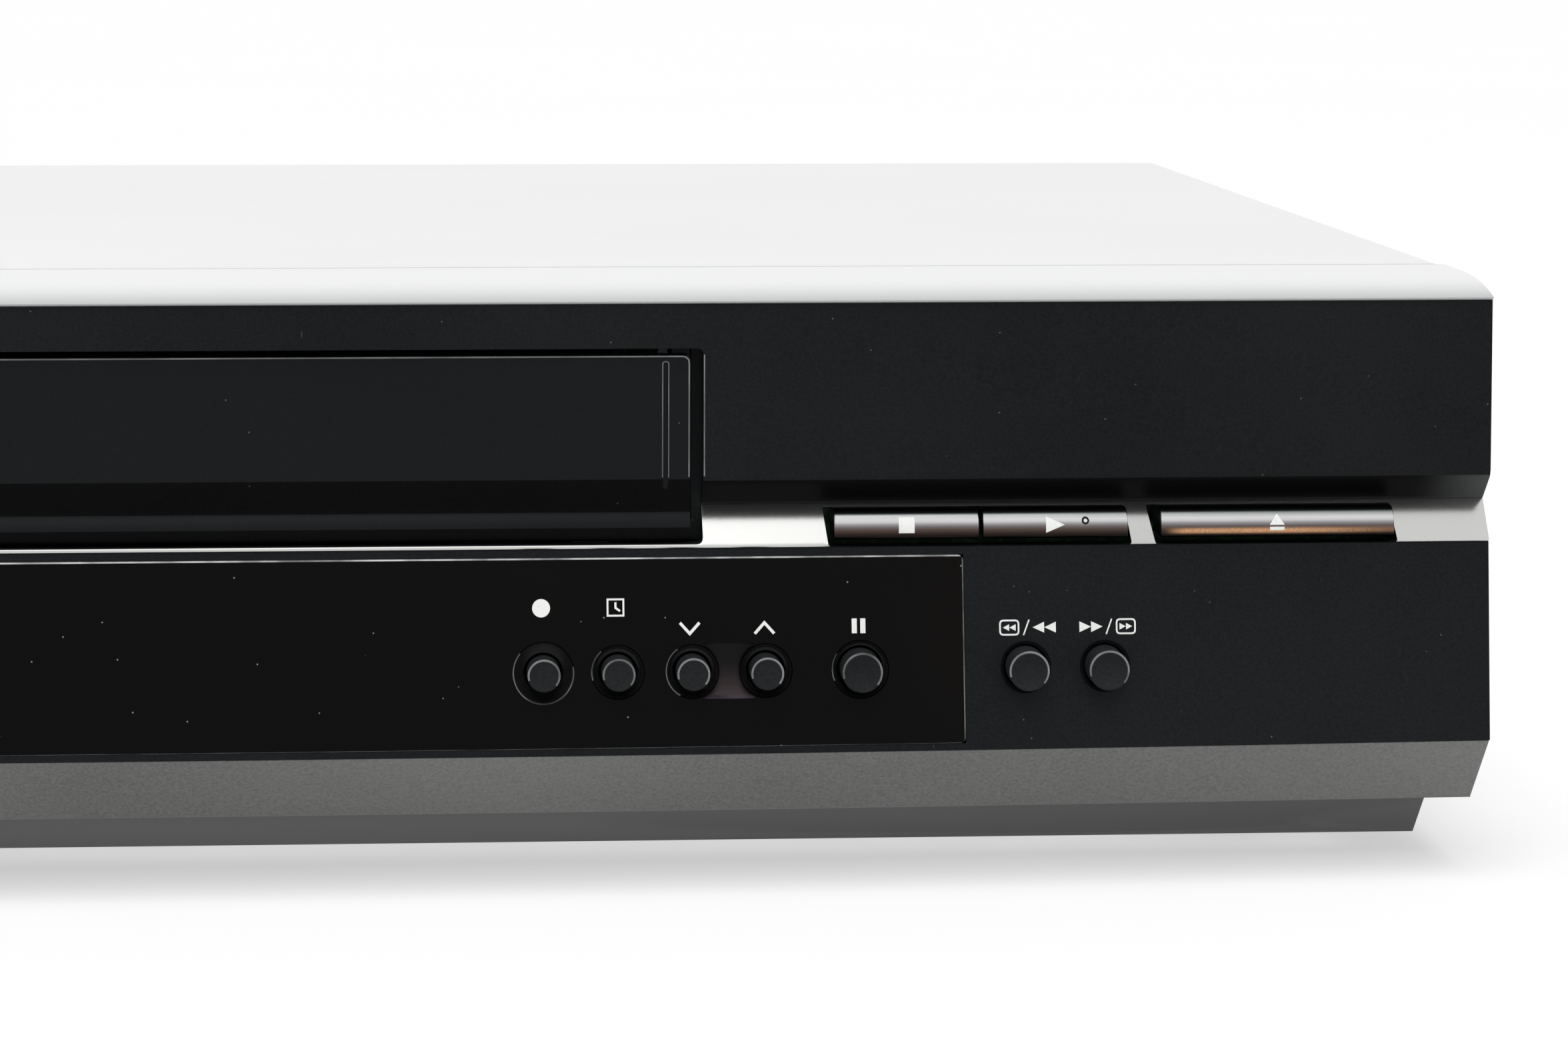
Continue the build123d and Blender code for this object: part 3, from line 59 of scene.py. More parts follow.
# ---- floor, light and air
# A pale table under a broad overhead light and a softbox, with white all round. The table and the air
# are plain for the eye, for gloss and through glass, and the table keeps the machine's shadow.
class Shade:
    """A shader value. Arithmetic on it adds Math nodes; node() adds any other node."""

    def __init__(self, tree, socket=None):
        self.tree, self.socket = tree, socket

    def node(self, kind, settings=None, values=None, out=0):
        made = self.tree.nodes.new("ShaderNode" + kind)
        for name, setting in (settings or {}).items():
            if name == "stops":
                ramp = made.color_ramp.elements
                while len(ramp) < len(setting):
                    ramp.new(0.5)
                for element, (place, colour) in zip(ramp, setting):
                    element.position, element.color = place, tone(colour)
            else:
                setattr(made, name, setting)
        for name, value in (values or {}).items():
            if isinstance(value, Shade):
                self.tree.links.new(value.socket, made.inputs[name])
            else:
                made.inputs[name].default_value = value
        return Shade(self.tree, made.outputs[out] if len(made.outputs) else None)

    def maths(self, operation, *values):
        return self.node("Math", {"operation": operation}, dict(enumerate(values)))

    def __add__(self, other):
        return self.maths("ADD", self, other)

    def __sub__(self, other):
        return self.maths("SUBTRACT", self, other)

    def __mul__(self, other):
        return self.maths("MULTIPLY", self, other)

    def __rsub__(self, other):
        return self.maths("SUBTRACT", other, self)

    __radd__, __rmul__ = __add__, __mul__

    def clip(self, low, high):
        """0 under low, 1 over high and a smooth step between them."""
        return self.node("MapRange", {"interpolation_type": "SMOOTHSTEP"}, {0: self, 1: low, 2: high})

    def mix(self, first, second):
        """The first colour where this value is 0, the second where it is 1."""
        ends = [end if isinstance(end, Shade) else tone(end) for end in (first, second)]
        return self.node("Mix", {"data_type": "RGBA"}, {0: self, 6: ends[0], 7: ends[1]}, 2)

    def noise(self, scale, detail=2.0, rough=0.5, stretch=(1, 1, 1), w=0.0):
        """Cloudy values about 0.5; scale is in clouds per metre."""
        place = self.node("TexCoord", out=3)
        place = self.node("Mapping", values={"Vector": place, "Scale": stretch})
        settings = {"noise_dimensions": "4D"}
        values = {"Vector": place, "W": w, "Scale": scale, "Detail": detail, "Roughness": rough}
        return self.node("TexNoise", settings, values)


def tone(colour):
    """A colour with its alpha, from three numbers or one grey."""
    return (*colour, 1.0) if isinstance(colour, tuple) else (colour, colour, colour, 1.0)


def new_material(name):
    material = bpy.data.materials.new(name)
    material.use_nodes = True
    material.node_tree.nodes.clear()
    return material, Shade(material.node_tree)


def seen_plainly(tree):
    """1 for rays that show the background: to the eye, in gloss and through glass."""
    eye, gloss, through = (
        tree.node("LightPath", out=name) for name in ("Is Camera Ray", "Is Glossy Ray", "Is Transmission Ray"))
    return tree.maths("MINIMUM", eye + gloss + through, 1.0)


world = bpy.data.worlds.new("air")
scene.world = world
world.use_nodes = True
world.node_tree.nodes.clear()
air = Shade(world.node_tree)
glow = air.node("Background", values={"Color": tone(1.0), "Strength": seen_plainly(air) * 0.62 + 0.38})
air.node("OutputWorld", values={"Surface": glow})

table_finish, grain = new_material("table_finish")
clouds = grain.noise(3.0)
paper = grain.node("BsdfDiffuse", values={"Color": clouds.mix(0.92, 0.94)})
plain = grain.node("Emission", values={"Color": tone(1.0), "Strength": 1.18})
paper = grain.node("MixShader", values={0: seen_plainly(grain) * 0.45, 1: paper, 2: plain})
grain.node("OutputMaterial", values={"Surface": paper})
table = bmesh.new()
bmesh.ops.create_grid(table, x_segments=8, y_segments=8, size=12.0)
table_mesh = bpy.data.meshes.new("table")
table.to_mesh(table_mesh)
table_top = bpy.data.objects.new("table", table_mesh)
table_mesh.materials.append(table_finish)
scene.collection.objects.link(table_top)


def lamp(name, kind, energy, aim, **settings):
    """A lamp that shines along aim."""
    light = bpy.data.objects.new(name, bpy.data.lights.new(name, kind))
    light.data.energy = energy
    for key, value in settings.items():
        setattr(light.data, key, value)
    light.rotation_mode = "QUATERNION"
    light.rotation_quaternion = Vector(aim).to_track_quat("-Z", "Y")
    scene.collection.objects.link(light)
    return light


lamp("overhead", "SUN", 1.9, (0.03, 0.58, -1.0), angle=math.radians(48)).visible_glossy = False
softbox = lamp("softbox", "AREA", 1.2, (0.1, 0.12, -1.0), shape="RECTANGLE", size=0.9, size_y=0.5)
softbox.location = (-0.15, -0.34, 0.95)


# ---- front panel
# The front is one black moulding of satin plastic, bowed forward: an upper face with the cassette
# opening, a groove, a seat for the button strip, and a lower panel that leans forward, with dishes
# round the buttons. Heights are over the case's underside, depths behind the upper face's ends.
def spot(x, depth, height):
    """A point of the machine in metres, from its millimetres."""
    return Vector((x, depth - 135.2, height + 4.0)) / 1000


half_width = 215.0
# Levels of the front: height, depth at the case's ends, and how far the middle stands forward.
front_levels = ((17.5, -2.5, 5.3), (46.9, 0.5, 1.3), (52.6, 4.2, 1.0), (56.7, 0.0, 1.0), (82.3, 0.7, 1.0))


def bowed(x, depth, bow):
    return depth - bow * (1 - (x / half_width) ** 2)


def face_depth(x, height):
    """How deep the front's surface lies at this place."""
    for (h0, d0, b0), (h1, d1, b1) in zip(front_levels, front_levels[1:]):
        if height <= h1:
            break
    share = (height - h0) / (h1 - h0)
    return bowed(x, d0 + (d1 - d0) * share, b0 + (b1 - b0) * share)


def softened(points, radii, steps=4, closed=True):
    """An outline whose corners are rounded; radii is one number, or one for each point."""
    count, out = len(points), []
    for index, point in enumerate(points):
        radius = radii[index] if isinstance(radii, (tuple, list)) else radii
        here = Vector(point)
        if radius <= 0 or (not closed and index in (0, count - 1)):
            out.append(here)
            continue
        back = Vector(points[index - 1]) - here
        ahead = Vector(points[(index + 1) % count]) - here
        u, v = back.normalized(), ahead.normalized()
        half = u.angle(v) / 2
        if half > 1.5:
            out.append(here)
            continue
        reach = min(radius / math.tan(half), back.length * 0.49, ahead.length * 0.49)
        start, end = here + u * reach, here + v * reach
        for step in range(steps + 1):
            t = step / steps
            out.append(start * (1 - t) ** 2 + here * (2 * t * (1 - t)) + end * t * t)
    return out


def piece(name, bm, body, material, stands_for=(), angle=35.0):
    """A mesh object that rides on a body, smooth but for edges sharper than this angle."""
    mesh = bpy.data.meshes.new(name)
    bmesh.ops.remove_doubles(bm, verts=bm.verts, dist=1e-7)
    bmesh.ops.recalc_face_normals(bm, faces=bm.faces)
    limit = math.radians(angle)
    for face in bm.faces:
        face.smooth = True
    for edge in bm.edges:
        edge.smooth = len(edge.link_faces) == 2 and edge.calc_face_angle(0.0) < limit
    bm.to_mesh(mesh)
    bm.free()
    made = bpy.data.objects.new(name, mesh)
    scene.collection.objects.link(made)
    mesh.materials.append(material)
    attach(made, body)
    if stands_for:
        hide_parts(*stands_for)
    return made


def tube(bm, rings, closed=True, caps=True):
    """Faces between rings of points, each ring an outline of the same number of points."""
    rows = [[bm.verts.new(point) for point in ring] for ring in rings]
    count = len(rows[0])
    for first, second in zip(rows, rows[1:]):
        for index in range(count if closed else count - 1):
            after = (index + 1) % count
            bm.faces.new((first[index], first[after], second[after], second[index]))
    if caps:
        bm.faces.new(list(reversed(rows[0])))
        bm.faces.new(rows[-1])
    return rows


def stations(half, step=4.3):
    count = max(2, round(2 * half / step))
    return [-half + 2 * half * index / count for index in range(count + 1)]


def bowed_loft(bm, profile, half=half_width):
    """A solid along X with this outline of (height, depth, bow) at every station."""
    tube(bm, [[spot(x, bowed(x, depth, bow), height) for height, depth, bow in profile]
              for x in stations(half)])


def prism(bm, outline, near, far, places=spot):
    """A solid from an outline of (x, height) points between two depths."""
    tube(bm, [[places(x, depth, height) for x, height in outline] for depth in (near, far)])


def ring_of(x, z, radius, steps=28):
    """Points of a circle, first the one at its right."""
    return [(x + radius * math.cos(math.tau * i / steps), z + radius * math.sin(math.tau * i / steps))
            for i in range(steps)]


def turned_solid(bm, x, height, profile, steps=48, caps=True):
    """A solid of revolution about an axis along depth, from (radius, depth) points."""
    tube(bm, [[spot(u, depth, v) for u, v in ring_of(x, height, radius, steps)] for radius, depth in profile],
         caps=caps)


def cut(bm, *cutters):
    """Take the cutters' solids from a mesh, one after another, and give the new mesh."""
    holder = bpy.data.objects.new("blank", bpy.data.meshes.new("blank"))
    scene.collection.objects.link(holder)
    bmesh.ops.recalc_face_normals(bm, faces=bm.faces)
    bm.to_mesh(holder.data)
    bm.free()
    knives = []
    for cutter in cutters:
        knife = bpy.data.objects.new("knife", bpy.data.meshes.new("knife"))
        scene.collection.objects.link(knife)
        bmesh.ops.recalc_face_normals(cutter, faces=cutter.faces)
        cutter.to_mesh(knife.data)
        cutter.free()
        slice_ = holder.modifiers.new("cut", "BOOLEAN")
        slice_.operation, slice_.solver, slice_.object = "DIFFERENCE", "EXACT", knife
        slice_.use_self = False
        knives.append(knife)
    bpy.context.view_layer.update()
    result = bmesh.new()
    result.from_object(holder, bpy.context.evaluated_depsgraph_get())
    for spent in (*knives, holder):
        bpy.data.meshes.remove(spent.data)
    return result


def surface(name, base, rough, bump=None, depth=0.0, **constants):
    """A finish: base and rough may vary over the piece, bump is a height in units of depth metres."""
    material, start = name if isinstance(name, tuple) else new_material(name)
    values = {"Base Color": base if isinstance(base, Shade) else tone(base), "Roughness": rough}
    if bump is not None:
        values["Normal"] = start.node("Bump", values={"Strength": 1.0, "Distance": depth, "Height": bump})
    values.update({name.replace("_", " "): value for name, value in constants.items()})
    shader = start.node("BsdfPrincipled", values=values)
    start.node("OutputMaterial", values={"Surface": shader})
    return material


def place_on(start, axis):
    """Where a point of the machine lies along X, Y or Z (0, 1 or 2), in metres."""
    return start.node("SeparateXYZ", values={0: start.node("TexCoord", out=3)}, out=axis)


def dust(start, per_metre=900.0, size=0.11, share=0.03, stretch=(1, 1, 1), turn=(0, 0, 0)):
    """1 on a few small dots; a stretch makes them hairline marks."""
    place = start.node("TexCoord", out=3)
    place = start.node("Mapping", values={"Vector": place, "Scale": stretch, "Rotation": turn})
    far = start.node("TexVoronoi", values={"Vector": place, "Scale": per_metre})
    chosen = start.node("TexVoronoi", values={"Vector": place, "Scale": per_metre}, out=1)
    lot = start.node("SeparateColor", values={0: chosen})
    return (1 - far.clip(size * 0.4, size * 1.3)) * lot.clip(1 - share, 1.001 - share)


def moulded(name, dark, light, rough, grain=0.000012, dusty=0.35, **constants):
    """Moulded plastic: a fine spark-eroded grain, slow cloudy shade, and a few specks of dust."""
    material, start = new_material(name)
    fine, slow = start.noise(2700, 3.0), start.noise(24, 3.0)
    shade = slow.clip(0.3, 0.75) * 0.45 + fine.clip(0.28, 0.72) * 0.55
    marks = dust(start) + dust(start, 700.0, 0.13, 0.007, (1.0, 1.0, 0.3), (0, 1.0, 0)) * 0.4
    base = (marks * dusty).mix(shade.mix(dark, light), 0.30)
    return surface((material, start), base, (slow - 0.5) * 0.10 + (fine - 0.5) * 0.12 + rough,
                   fine, grain, **constants)


satin_black = moulded("satin_black", (0.0022, 0.0028, 0.0033), (0.0098, 0.0112, 0.0122), 0.46,
                      Specular_IOR_Level=0.11)


def rectangle(left, right, low, high):
    return [(left, low), (right, low), (right, high), (left, high)]


def cutter(outline, near=-20.0, far=12.0):
    made = bmesh.new()
    prism(made, outline, near, far)
    return made


def lean(height, thick=0.0):
    """The lower panel's face at this height, as a profile point."""
    share = (height - 17.5) / 29.4
    return height, -2.5 + 3.0 * share + thick, 5.3 - 4.0 * share


def lower_face(thick=0.0, low=17.5, high=46.6):
    """The lower panel's surface as profile points, this much deeper than the face."""
    count = 7
    for i in range(count + 1):
        yield lean(low + (high - low) * i / count, thick)


panel = bmesh.new()
bowed_loft(panel, [
    *lower_face(), (46.65, 1.1, 1.33), (46.9, 1.2, 1.3), (52.45, 5.1, 1.0), (52.6, 4.3, 1.0),
    (53.0, 3.85, 1.0), (55.9, 0.75, 1.0), (56.5, 0.22, 1.0), (57.3, 0.02, 1.0), (82.3, 0.7, 1.0), (82.3, 30.0, 0),
    (17.5, 30.0, 0)])
hollow = bmesh.new()
bowed_loft(hollow, [
    (19.7, 0.6, 5.2), (46.9, 3.3, 1.3), (52.6, 7.0, 1.0), (56.7, 2.8, 1.0), (80.1, 3.4, 1.0), (80.1, 34.0, 0),
    (19.7, 34.0, 0)], 212.4)
foot_cut = cutter(rectangle(-212.4, 212.4, 14.0, 20.0), 8.5, 34.0)
window_seat = bmesh.new()
bowed_loft(window_seat, [
    (18.45, -20.0, 0), (45.45, -20.0, 0), (45.45, 1.95, 1.5), (18.45, -0.8, 5.17)], 137.05)
door_opening = softened(rectangle(-99.0, 99.0, 47.2, 75.8), 1.0)
bar_openings = [
    softened([(117.3, 46.66), (161.9, 46.66), (161.35, 52.05), (116.7, 52.05)], (0.5, 0.5, 0.3, 0.3)),
    softened([(165.4, 46.66), (201.35, 46.66), (200.8, 52.05), (164.5, 52.05)], (0.5, 0.5, 0.3, 0.3)),
    softened([(-201.35, 46.66), (-165.4, 46.66), (-164.5, 52.05), (-200.8, 52.05)], (0.5, 0.5, 0.3, 0.3)),
]
row = 29.2
# Each round button: its place along the front, cap radius, dish radius, and where its cap ends.
round_buttons = {
    "record_button": (75.6, 2.4, 4.45, -7.0),
    "timer_button": (86.4, 2.4, 3.9, -7.0),
    "channel_down_button": (97.2, 2.4, 3.9, -7.0),
    "channel_up_button": (107.9, 2.4, 3.9, -7.0),
    "pause_button": (121.7, 2.95, 4.2, -6.9),
    "rewind_button": (146.0, 2.95, 3.75, -6.9),
    "forward_button": (157.7, 2.95, 3.75, -6.9),
}


in_window, on_panel = list(round_buttons)[:5], list(round_buttons)[5:]


def holes(*names, spare=0.0):
    """Knives for the hollows round the buttons: each dish's own circle, or its cap's and this much."""
    for x, cap, dish, _ in (round_buttons[name] for name in names):
        knife = bmesh.new()
        radius = cap + spare if spare else dish
        turned_solid(knife, x, row, [(radius, -20.0), (radius, 12.0)], 64)
        yield knife


def dish(bm, name, face, lit=None):
    """A turned hollow that follows the face at its rim; lit is the run of its edge, in degrees, given a painted
    highlight.
    """
    x, cap, wide, _ = round_buttons[name]
    rings, middle = [], face(x, row)
    for radius, sink, follow in (
            (wide, 1.5, 0), (wide, 0.02, 1), (wide - 0.17, 0.12, 1), (wide - 0.5, 0.42, 0.8),
            (cap + 0.9, 0.86, 0.4), (cap + 0.45, 1.02, 0), (cap + 0.35, 1.14, 0), (cap + 0.35, 1.5, 0),
            (wide, 1.5, 0)):
        ring = []
        for i in range(64):
            u, v = math.cos(math.tau * i / 64), math.sin(math.tau * i / 64)
            level = face(x + radius * u, row + radius * v) * follow + middle * (1 - follow)
            ring.append(spot(x + radius * u, level + sink, row + radius * v))
        rings.append(ring)
    before = len(bm.faces)
    tube(bm, rings, caps=False)
    bm.faces.ensure_lookup_table()
    for i in range(64):
        angle = 360 * (i + 0.5) / 64
        if lit and (lit[0] < angle < lit[1] or lit[0] < angle + 360 < lit[1]):
            bm.faces[before + 64 + i].material_index = 1
        for level in (2, 3, 4):
            bm.faces[before + 64 * level + i].material_index = 2


jack_x = (-187.0, -170.0, -153.0)
jack_holes = []
for x in jack_x:
    knife = bmesh.new()
    turned_solid(knife, x, row, [(4.5, -20.0), (4.5, 12.0)])
    jack_holes.append(knife)
panel = cut(panel, hollow, foot_cut, cutter(door_opening, far=34.0), *(cutter(o) for o in bar_openings),
            window_seat, *holes(*on_panel), *holes(*in_window, spare=0.7), *jack_holes)
# Faces across the groove, under the upper face's overhang, take the second finish, which is painted shade.
for face in panel.faces:
    middle, facing = face.calc_center_median() * 1000, face.normal
    face.material_index = int(56.5 < middle.z < 60.9 and facing.y < -0.2)
moulding = piece("front_panel_moulding", panel, "case", satin_black, ("front_panel",))
material, start = new_material("groove_painted_shade")
across = place_on(start, 0)
# Painted shade: near black over the groove, turning to a painted light near the case's two ends.
painted_end_light = across.maths("ABSOLUTE", across).clip(0.2035, 0.2165) * 0.8
moulding.data.materials.append(surface(
    (material, start), painted_end_light.mix(0.0016, (0.085, 0.09, 0.09)), start.noise(2700, 3.0) * 0.12 + 0.45,
    start.noise(2700, 3.0, w=1.0), 0.000012, Specular_IOR_Level=0.05))
necks = bmesh.new()
for name in on_panel:
    dish(necks, name, face_depth)
necks = piece("panel_dishes", necks, "case", satin_black)
dish_black = moulded("dish_black", (0.0050, 0.0052, 0.0054), (0.0105, 0.0105, 0.0108), 0.4, 0.000006, 0.2,
                     Specular_IOR_Level=0.12)
for finish in (satin_black, dish_black):
    necks.data.materials.append(finish)
# Ribs behind the opening's two ends close the gap beside the door.
traps = bmesh.new()
for side_ in (-1, 1):
    prism(traps, rectangle(*sorted((side_ * 97.5, side_ * 99.4)), 47.3, 75.5), 3.9, 4.9)
piece("light_traps", traps, "case", satin_black)

# ---- silver strip
# A thin silver-painted band lies in the groove's lower slope and rolls over its foot to a fine lip.
# It is cut out round the cassette opening and the bars.
def lacquered(name, dark, light, rough, metallic, flake=0.12, size=7800, **constants):
    """Metallic lacquer: fine flakes in a smooth coat that varies slowly over the piece."""
    material, start = new_material(name)
    flakes, slow = start.noise(size, 2.0), start.noise(17, 3.0, w=2.0)
    share = (slow - 0.5) * 0.9 + (flakes - 0.5) * (flake * 10) + 0.5
    base = share.maths("MAXIMUM", share, 0.0).mix(dark, light)
    return surface((material, start), base, (slow - 0.5) * 0.12 + (flakes - 0.5) * 0.10 + rough, flakes,
                   0.000004, Metallic=metallic, **constants)


def edged(made, width, angle=40.0):
    """Round a piece's sharp edges by this many millimetres."""
    bevel = made.modifiers.new("edges", "BEVEL")
    bevel.width, bevel.segments, bevel.limit_method = width / 1000, 3, "ANGLE"
    bevel.angle_limit = math.radians(angle)
    bevel.use_clamp_overlap = True
    bevel.harden_normals = True
    bevel.miter_outer = "MITER_ARC"
    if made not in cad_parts.values():
        for polygon in made.data.polygons:
            polygon.use_smooth = True
    facets = made.modifiers.new("facets", "WEIGHTED_NORMAL")
    facets.weight, facets.keep_sharp = 100, False
    return made


strip_paint = lacquered("strip_paint", (0.47, 0.47, 0.46), (0.68, 0.68, 0.665), 0.17, 1.0, 0.05)
strip = bmesh.new()
bowed_loft(strip, [
    (46.7, 0.45, 1.33), (46.72, 0.28, 1.33), (46.85, 0.18, 1.31), (47.05, 0.24, 1.3), (47.35, 0.5, 1.3),
    (52.6, 4.35, 1.0), (52.6, 4.85, 1.0), (47.2, 1.0, 1.3), (46.7, 0.9, 1.33)])
strip = cut(strip, cutter(softened(rectangle(-99.0, 99.0, 47.2, 60.0), (1.0, 1.0, 0, 0))),
            *(cutter(o) for o in bar_openings))
edged(piece("button_strip", strip, "case", strip_paint, ("strip_trim",)), 0.08)

# ---- smoked window
# One sheet of glossy smoked acrylic follows the bow of the lower panel, a hair proud of it, with a chamfered
# edge all round whose colour is a painted highlight. Five buttons come through it, and a shallow scoop
# joins the channel pair.
def edge_highlight(name, dark, light, rough=0.22, **constants):
    """Painted highlight for a moulded edge: a lighter colour standing for light caught on it, brighter in some
    places than in others.
    """
    material, start = new_material(name)
    patches, fine = start.noise(110, 3.0, 0.65, w=7.0), start.noise(900, 2.0)
    return surface((material, start), (patches.clip(0.34, 0.64) * 0.8 + fine * 0.2).mix(dark, light),
                   patches * 0.1 + (rough - 0.05), fine, 0.000003, **constants)


def extruded_x(bm, outline, low, high):
    """A solid between two X values from an outline of (height, depth) points."""
    tube(bm, [[spot(x, depth, height) for height, depth in outline] for x in (low, high)])


def corner_cutters(left, right, low, high, radius):
    """One knife that rounds the four corners of a plate, seen from the front."""
    made = bmesh.new()
    for x, sx in ((left, 1), (right, -1)):
        for z, sz in ((low, 1), (high, -1)):
            arc = [(x + sx * radius * (1 - math.cos(a)), z + sz * radius * (1 - math.sin(a)))
                   for a in (math.radians(15 * i) for i in range(7))]
            outline = [(x - sx, z - sz), (x - sx, z + sz * radius), *arc, (x + sx * radius, z - sz)]
            prism(made, outline, -20.0, 12.0)
    return made


material, start = new_material("smoked_acrylic")
# Slow brownish clouds in the tint are a painted reflection; the specks and hairlines are dust.
painted_reflection_clouds = start.noise(9, 2.0, w=5.0)
smoke = (dust(start) * 0.8 + dust(start, 500.0, 0.13, 0.015, (1.0, 1.0, 0.25), (0, 1.1, 0)) * 0.4).mix(
    painted_reflection_clouds.clip(0.42, 0.68).mix((0.0016, 0.0014, 0.0014), (0.0068, 0.0046, 0.0034)), 0.35)
smoked_acrylic = surface((material, start), smoke, start.noise(60, 3.0) * 0.05 + 0.07,
                         start.noise(35, 1.0), 0.00002, Specular_IOR_Level=0.06)
window = bmesh.new()
window_half = 137.0
window_front = [lean(18.5, 0.06), *lower_face(-0.12, 18.6, 45.18), lean(45.4, 0.10)]
window_back = [(45.4, 1.9, 1.5), (18.5, -0.85, 5.16)]
chamfer = 0.2
tube(window, [
    [spot(x, bowed(x, depth, bow) + chamfer * (abs(x) == window_half), height)
     for height, depth, bow in window_front]
    + [spot(x, bowed(x, depth, bow), height) for height, depth, bow in window_back]
    for x in (-window_half, *stations(window_half - chamfer), window_half)])
scoop = bmesh.new()
extruded_x(scoop, [(height, face_depth(102.5, height) + sink) for height, sink in (
    (33.5, -0.4), (33.0, 0.0), (32.2, 0.3), (31.0, 0.6), (29.5, 0.82), (28.0, 0.92), (27.0, 0.86), (26.3, 0.66),
    (25.75, 0.36), (25.3, -0.1), (25.2, -0.5))] + [(25.2, -9.0), (33.5, -9.0)], 98.9, 106.2)
window = cut(window, corner_cutters(-window_half, window_half, 18.5, 45.4, 0.9), scoop, *holes(*in_window))
# The scoop's faces take its finish, its lowest faces a dim painted highlight; the chamfer's faces take painted
# highlights, lightest where they face up, dimmer on the sides and underneath.
for face in window.faces:
    middle, facing = face.calc_center_median() * 1000, face.normal
    if 99.0 < middle.x < 106.1 and 29.0 < middle.z < 37.4 and abs(facing.x) < 0.9 \
            and middle.y + 135.2 > face_depth(middle.x, middle.z - 4.0) - 0.09:
        face.material_index = 1 if middle.z > 29.6 else 5
    elif facing.y < -0.3 and max(abs(facing.x), abs(facing.z)) > 0.35:
        face.material_index = 2 if facing.z > 0.35 else 4 if facing.z < -0.35 else 3
sheet = piece("window_sheet", window, "case", smoked_acrylic, ("display_window",), angle=20)
material, start = new_material("scoop_painted_light")
rise = place_on(start, 2)
# Painted light and shade: brownish grey low in the scoop, where its floor faces up, near black higher up.
scoop_painted_shading = rise.clip(0.0295, 0.0350).mix((0.034, 0.025, 0.027), (0.002, 0.0017, 0.0017))
scoop_painted_light = surface((material, start), scoop_painted_shading, start.noise(2700, 3.0) * 0.1 + 0.3, start.noise(900, 3.0),
                      0.000006, Specular_IOR_Level=0.12)
# Painted highlights: the chamfer's top, sides and underside, and the scoop's foot.
for finish in (scoop_painted_light, edge_highlight("acrylic_top_highlight", 0.12, 0.66, 0.12),
               edge_highlight("acrylic_side_highlight", (0.06, 0.06, 0.055), (0.24, 0.24, 0.22), 0.14),
               edge_highlight("acrylic_low_highlight", 0.07, 0.26, 0.16),
               edge_highlight("scoop_foot_highlight", (0.012, 0.010, 0.012), (0.055, 0.045, 0.055), 0.5,
                         Specular_IOR_Level=0.03)):
    sheet.data.materials.append(finish)
rings = bmesh.new()


def on_window(x, height):
    return face_depth(x, height) - 0.12


# Each rim's bright run, given in degrees, is a painted highlight.
for name, lit in (("record_button", (140, 374)), ("timer_button", (128, 198)), ("channel_down_button", (124, 244)),
                  ("channel_up_button", None), ("pause_button", (146, 204))):
    dish(rings, name, on_window, lit)
rings = piece("window_dishes", rings, "case", smoked_acrylic)
for finish in (edge_highlight("dish_rim_highlight", (0.035, 0.037, 0.037), (0.20, 0.205, 0.20), 0.14), dish_black):
    rings.data.materials.append(finish)

# ---- cassette door
# A long black plate that the cassette pushes open. Its face leans in a little over the groove and
# swells out below a crease, a fine slot runs down it near one end, and ears behind it carry its pins.
door_black = moulded("door_black", (0.0038, 0.0048, 0.0054), (0.0062, 0.0073, 0.0080), 0.34,
                     0.000008, 0.4, Specular_IOR_Level=0.10)
pin_depth, pin_height, pin_radius = 5.6, 77.8, 1.3
door = bmesh.new()
extruded_x(door, [
    (74.8, 0.9), (74.75, 0.7), (74.5, 0.6), (56.6, 0.6), (56.2, 0.63), (55.6, 0.72), (52.6, 1.33), (52.1, 1.38),
    (51.7, 1.33), (51.4, 1.16), (51.1, 0.92), (50.7, 0.62), (50.2, 0.3), (49.6, 0.08), (49.0, 0.0), (48.5, 0.03),
    (48.0, 0.22), (47.75, 0.45), (47.6, 0.8), (47.6, 2.8), (74.8, 2.8)], -97.2, 97.2)
door = cut(door, corner_cutters(-97.2, 97.2, 47.6, 74.8, 0.9), cutter(
    softened(rectangle(93.2, 93.93, 55.2, 73.7), 0.36), far=0.95))
for side_ in (-1, 1):
    ends = sorted((side_ * 94.6, side_ * 97.2))
    extruded_x(door, [
        (66.0, 2.6), (72.5, 3.0), (74.9, 3.1), (79.6, 3.6), (79.8, 5.0), (79.7, 6.4), (78.6, 7.4), (77.6, 7.6),
        (76.4, 7.4), (69.8, 5.1)], *ends)
    reach = sorted((side_ * 94.6, side_ * (104.5 if side_ > 0 else 100.9)))
    extruded_x(door, [(v, u) for u, v in ring_of(pin_depth, pin_height, pin_radius, 24)], *reach)
# Front-facing faces along the groove and low on the foot take the second finish: painted shade, a darker and
# duller black.
for face in door.faces:
    level = face.calc_center_median().z * 1000 - 4.0
    face.material_index = int(face.normal.y < -0.5 and (51.7 < level < 56.7 or level < 49.8))
plate = piece("door_plate", door, "cassette_door", door_black, ("cassette_door",))
plate.data.materials.append(moulded("door_painted_shade", 0.0012, 0.0036, 0.4, 0.000008, 0.4,
                                    Specular_IOR_Level=0.035))
edged(plate, 0.11, angle=50.0)

# ---- bar buttons
# Stop, play, eject and power are bars of metallic grey plastic with a rounded front, set in the strip.
# Each carries a plain printed sign, and play has a small ringed dot for the finger.
material, start = new_material("bar_metal")
flakes, slow = start.noise(7800, 1.0), start.noise(40, 3.0, w=2.0)
rise = place_on(start, 2)
